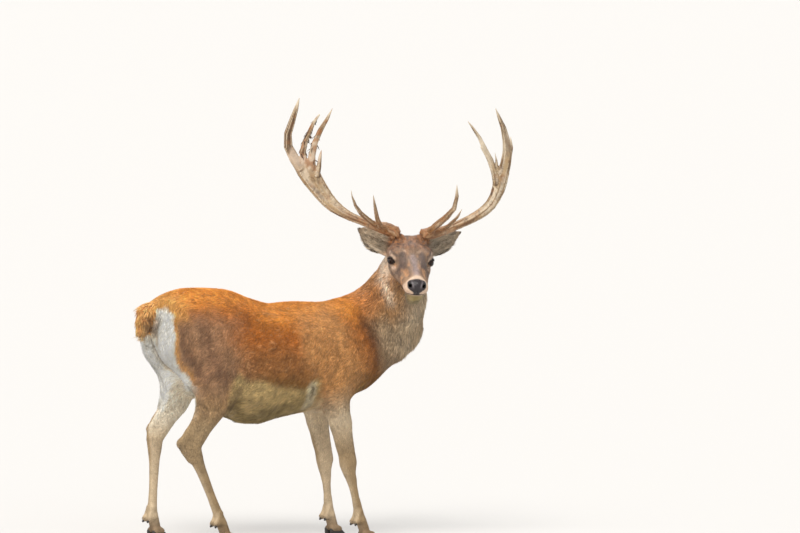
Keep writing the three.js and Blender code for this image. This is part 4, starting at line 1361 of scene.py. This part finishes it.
def antler(side):
    """Beam and tines in one piece of bone, grooved along their length and pearled near the head."""
    names = antler_nodes(side)
    volume = Volume(names, voxel=0.0025, band=0.012, gap=0.0004)
    plain = volume.values
    soft = blurred(plain, width=3, passes=2) - np.float32(0.0004)
    volume.values = np.minimum(soft, plain + np.float32(0.0012))
    obj = mesh_object(f"antler_{side}", *largest(*volume.polygons(adaptivity=0.01)))
    normals = normals_of(obj.data)
    points = points_of(obj.data)
    level = in_level(points)
    base = PEDICLES[side]
    from_base = np.linalg.norm(level - base, axis=1)
    ends = []
    for name in names:
        if not name.endswith("beam"):
            own = points_of(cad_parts[name].data)
            ends.append(own[np.argmax(own[:, 2])])
    tip = np.min([np.linalg.norm(points - end, axis=1) for end in ends], axis=0)
    slim = fade(0.02, 0.10, tip)
    ridges = noise(normals * 0.055 + points * 0.16, 0.013, 41)
    pearls = np.maximum(noise(points, 0.006, 42), 0) ** 1.5 * ease(0.03, 0.07, from_base)
    rough = mix(1.0, 0.25, ease(0.10, 0.55, from_base)) * (1 - slim)
    burr = np.exp(-(((from_base - 0.036) / 0.009) ** 2))
    lift = 1.1 * MM * ridges * (1 - 0.7 * slim) + 2.0 * MM * pearls * rough
    lift += burr * (1.6 + 0.8 * noise(points, 0.007, 43)) * MM
    move(obj.data, points + normals * lift[:, None])
    grain = noise(normals * 0.030 + points * 0.10, 0.0045, 46)
    grooves = ease(-0.15, 0.45, -ridges) * (1 - 0.5 * slim)
    bone = Dye(BONE)
    bone.add(STAIN, 0.85 * grooves)
    bone.add(IVORY, 0.70 * fade(0.01, 0.09, tip))
    bone.add(IVORY, 0.55 * ease(0.05, 0.5, ridges + 0.4 * grain))
    bone.add(STAIN, 0.50 * ease(0.1, 0.7, grain) * (1 - slim))
    rust = 0.80 * fade(0.03, 0.13, from_base) + 0.50 * fade(0.13, 0.36, from_base)
    rust = rust + 0.35 * ease(0.0, 0.5, noise(points, 0.018, 50)) * (1 - slim)
    bone.add(RUSTY, np.clip(rust, 0, 0.9) * (0.70 + 0.40 * grain))
    bone.add(STAIN, 0.55 * ease(0.15, 0.6, noise(points, 0.0045, 49)) * (1 - slim))
    if side == "right":
        crotch = bump(level[:, 2], 0.455, 0.10) * ease(0.10, 0.25, from_base)
        bone.add(PALM, 0.85 * crotch * ease(-0.5, 0.1, noise(points, 0.040, 47)))
        ragged = [within(points, f"antler_right_{tine}") for tine in ("middle", "inner")]
        rusty = np.max(ragged, axis=0) * ease(-0.2, 0.4, noise(points, 0.018, 48))
        bone.add(RUSTY, 0.65 * rusty)
    bone.lighten(0.12 * noise(points, 0.02, 44) + 0.10 * noise(points, 0.006, 45))
    material, tree, shader = painted(f"antler_{side}", 0.80, 1.12, 260, Roughness=0.58)
    raised(tree, shader, speckle(tree, 700, 3), 0.0008, 0.6)
    return dressed(obj, bone.colour, material, names)


def hair_on(name, slot, kind, roots, normals, way, long, wide, rise, colour):
    """Tufts of one kind and about one size, lengths in millimetres."""
    count = len(roots)
    way = unit(way - normals * np.sum(way * normals, 1)[:, None])
    shade = 1 + rng.normal(0, 0.16, count)
    return tufts(
        name, slot, kind, roots, normals, way,
        long * MM * rng.uniform(0.7, 1.3, count), wide * MM * rng.uniform(0.7, 1.3, count),
        rise * MM * rng.uniform(0.5, 1.2, count), colour * shade[:, None],
        rng.uniform(1.0, 1.4, count), np.zeros(count, int),
    )


def pedicle_hair(side, obj):
    """The hair of the crown runs up over the foot of an antler."""
    points, normals = points_of(obj.data), normals_of(obj.data)
    away = points - from_level(PEDICLES[side])
    far = np.linalg.norm(away, axis=1)
    near = np.nonzero(far < 0.044 + 0.010 * noise(points, 0.012, 71))[0]
    near = rng.choice(near, min(4200, len(near)), replace=False)
    blots = noise(points[near], 0.014, 72)
    colour = tint(CROWN, TUFT, ease(-0.5, 0.4, blots))
    colour = tint(colour, DARK_CROWN_AND_SHADE, 0.7 * ease(0.0, 0.6, noise(points[near], 0.011, 73)))
    way = away[near] + 0.015 * UP
    name = f"hair_pedicle_{side}"
    hair_on(name, "face_coat", SPIKE, points[near], normals[near], way, 8, 1.9, 1.4, colour)


SHREDS = 46


def velvet(obj):
    """Dry shreds of old velvet that hang on the middle tine of the right antler."""
    points, normals = points_of(obj.data), normals_of(obj.data)
    low, high = corners_of("antler_right_middle")
    inside = ((points > low - 0.004) & (points < high + 0.004)).all(1)
    close = np.nonzero(inside & (points[:, 2] < high[2] - 0.03))[0]
    picks = rng.choice(close, SHREDS, replace=False)
    way = np.array([0.1, -0.2, -1.0]) + rng.normal(0, 0.35, (SHREDS, 3))
    roots = points[picks]
    hair_on("velvet_shreds", "antler", LOCK, roots, normals[picks], way, 24, 6.5, 6.0, VELVET)


def lashes(side):
    """Dark hairs along the upper lid."""
    gap, out, away, level, inner = lid_gap(in_face(skin_points), side)
    rim = (gap > 0.0004) & (gap < 0.0030) & (level > 0.004) & (out > 0)
    near = np.nonzero(rim & (away < 0.030) & (inner > -0.010))[0]
    near = rng.choice(near, min(90, len(near)), replace=False)
    roots, normals = skin_points[near], skin_normals[near]
    way = (roots - from_head(mirrored(EYE_AT, side))) + 0.02 * FORWARD
    name = "lashes_left" if side > 0 else "lashes_right"
    hair_on(name, "face_coat", SPIKE, roots, normals, way, 3.6, 0.7, 2.4, LID_RIM)


# ---------- eyes ----------
IRIS = seen(44, 25, 14)
PUPIL = seen(7, 6, 7)
SCLERA = seen(24, 16, 13)


def eyeball(side, node_name):
    """A dark eye with a pupil that lies level, under a wet cornea."""
    name = node_name.replace("eye", "eyeball")
    mesh = bpy.data.meshes.new(name)
    ball = bmesh.new()
    bmesh.ops.create_icosphere(ball, subdivisions=5, radius=1.0)
    ball.to_mesh(mesh)
    ball.free()
    obj = added(name, mesh)
    way = read(mesh.vertices, "co")
    h = way * EYE_RADIUS + EYE_AT * (1, side, 1)
    inner, up, out, _ = eye_frame(h, side)
    cornea = np.exp(-((np.arccos(np.clip(out / EYE_RADIUS, -1, 1)) / 0.55) ** 4))
    h = EYE_AT * (1, side, 1) + way * (EYE_RADIUS * 0.985 + 0.9 * MM * cornea)[:, None]
    places = from_head(h)
    places = places + face_shift(places)
    move(mesh, places)
    slanted = up + LID["slant"] * inner
    pupil = fade(0.9, 1.1, np.hypot(inner / 0.0082, slanted / 0.0052))
    iris = fade(0.0128, 0.0145, np.hypot(inner, slanted)) * (out > 0)
    turn = np.arctan2(slanted, inner) * 0.05
    rays = noise(np.stack([turn, 0 * turn, 0 * turn], 1), 0.006, 51)
    eye = Dye(SCLERA)
    eye.add(IRIS, iris)
    eye.add(PUPIL, pupil * (out > 0))
    eye.lighten(0.25 * rays * iris * (1 - pupil))
    wet = {"Roughness": 0.06, "Specular_IOR_Level": 0.16, "Coat_Weight": 0.22, "Coat_Roughness": 0.02}
    material, _, _ = painted(name, 0.95, 1.05, 300, **wet)
    return dressed(obj, eye.colour, material, [node_name])


# ---------- hooves ----------
HORN = seen(46, 40, 36)
HORN_EDGE = seen(92, 78, 62)


def hooves(trotter):
    """Two cloven toes and two dewclaws, with rings of growth, flat where they stand."""
    names = [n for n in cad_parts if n.startswith(trotter) and ("hoof" in n or "dewclaw" in n)]
    volume = Volume(names, voxel=0.002, band=0.012, gap=0.0002)
    volume.values = blurred(volume.values, width=3) - np.float32(0.0004)
    for name in names:
        if "hoof" in name:
            low, high = corners_of(name)
            middle = (low[1] + high[1]) / 2

            def taper(values, points, low=low, high=high, middle=middle):
                x, y, z = points.T
                wall = (z - 0.012) * 0.80 + (x - high[0]) * 0.60 + 6.0 * (y - middle) ** 2
                sole = np.abs(y - middle) + 0.16 * z - 0.0185
                own = soft_max(soft_max(values, wall, 0.012), sole, 0.006)
                return np.where(np.abs(y - middle) < 0.0215, own, values)

            volume.change([low, high], 0.006, taper)
    volume.values = np.maximum(volume.values, -volume.height((0, 0, 0.0002), UP))
    points, faces = volume.polygons()
    obj = mesh_object(f"hooves_{trotter}", points, faces)
    normals, points = normals_of(obj.data), points_of(obj.data)
    rings = np.sin(points[:, 2] / (4.2 * MM) * 2 * np.pi + 2 * noise(points, 0.03, 61))
    side = 1 - np.abs(normals[:, 2]) ** 2
    lift = 0.25 * MM * rings * side * ease(0.004, 0.01, points[:, 2])
    points = points + normals * lift[:, None]
    points[:, 2] = np.maximum(points[:, 2], 0.0002)
    move(obj.data, points)
    horn = Dye(HORN)
    horn.add(HORN_EDGE, 0.6 * fade(0.0, 0.014, points[:, 2]))
    horn.lighten(0.18 * rings * side + 0.15 * noise(points, 0.012, 62))
    material, tree, shader = painted(f"hooves_{trotter}", 0.8, 1.15, 300, Roughness=0.45)
    raised(tree, shader, speckle(tree, 500, 3, (1, 1, 3)), 0.0006, 0.5)
    return dressed(obj, horn.colour, material, names)


# ---------- the stag ----------
skin = skin_mesh()
skin_points, skin_normals = points_of(skin.data), normals_of(skin.data)
wet = skin.data.attributes.new("wet", "FLOAT", "POINT")
wet.data.foreach_set("value", nose_pad(in_face(skin_points)).astype(np.float32))
# painted shade of the coat over the skin
skin_colours = 0.9 * markings(skin_points, skin_normals)  # darker than the tips of the coat
dressed(skin, skin_colours, skin_material, [*BODY_NODES, "muzzle", *EAR_NODES])
grow_coat()
for side in ("left", "right"):
    made = antler(side)
    pedicle_hair(side, made)
velvet(made)  # the right antler, made last
for side in SIDES:
    lashes(side)
eyeball(1, "eye_left")
eyeball(-1, "eye_right")
for trotter in TROTTERS:
    hooves(trotter)


# ---------- the room ----------
def camera():
    """A long lens from behind the right haunch, a little above the back."""
    azimuth, elevation, roll = math.radians(-35), math.radians(3), math.radians(3)
    reach = 30.0
    target = np.array([0.5062, -0.2714, 1.2980]) + ORIGIN
    back = np.array([
        math.sin(azimuth) * math.cos(elevation),
        -math.cos(azimuth) * math.cos(elevation),
        math.sin(elevation),
    ])
    right0 = np.array([math.cos(azimuth), math.sin(azimuth), 0.0])
    up0 = np.cross(back, right0)
    right = right0 * math.cos(roll) + up0 * math.sin(roll)
    up = up0 * math.cos(roll) - right0 * math.sin(roll)
    data = bpy.data.cameras.new("camera")
    data.lens = 292.2
    data.sensor_width = 36.0
    data.clip_start, data.clip_end = 0.5, 3000
    obj = added("camera", data)
    turned = Matrix(np.stack([right, up, back], 1).tolist()).to_4x4()
    turned.translation = Vector(target + back * reach)
    obj.matrix_world = turned
    bpy.context.scene.camera = obj


def floor():
    bpy.ops.mesh.primitive_circle_add(vertices=96, radius=900, fill_type="NGON", location=(0, 0, 0))
    obj = bpy.context.object
    obj.name = "floor"
    material = bpy.data.materials.new("floor")
    material.use_nodes = True
    shader = material.node_tree.nodes["Principled BSDF"]
    shader.inputs["Base Color"].default_value = (0.60, 0.59, 0.575, 1)
    shader.inputs["Roughness"].default_value = 0.9
    obj.data.materials.append(material)


def lamp(name, direction, strength, angle, colour):
    """A soft sun that shines from a direction."""
    data = bpy.data.lights.new(name, "SUN")
    data.energy = strength
    data.angle = math.radians(angle)
    data.color = colour
    obj = added(name, data)
    obj.rotation_mode = "QUATERNION"
    obj.rotation_quaternion = Vector(direction).to_track_quat("Z", "Y")


def lights():
    world = bpy.data.worlds.new("studio")
    world.use_nodes = True
    world.node_tree.nodes["Background"].inputs["Color"].default_value = (0.95, 0.97, 1.0, 1)
    world.node_tree.nodes["Background"].inputs["Strength"].default_value = 0.70
    bpy.context.scene.world = world
    lamp("key", (-0.75, -0.62, 0.9), strength=2.4, angle=26, colour=(1.0, 0.97, 0.93))
    lamp("rim", (0.35, 0.75, 1.1), strength=1.5, angle=20, colour=(1.0, 0.95, 0.88))
    lamp("fill", (-1.0, 0.25, 0.22), strength=0.8, angle=30, colour=(1.0, 0.98, 0.94))
    bpy.context.scene.view_settings.view_transform = "Standard"


camera()
floor()
lights()
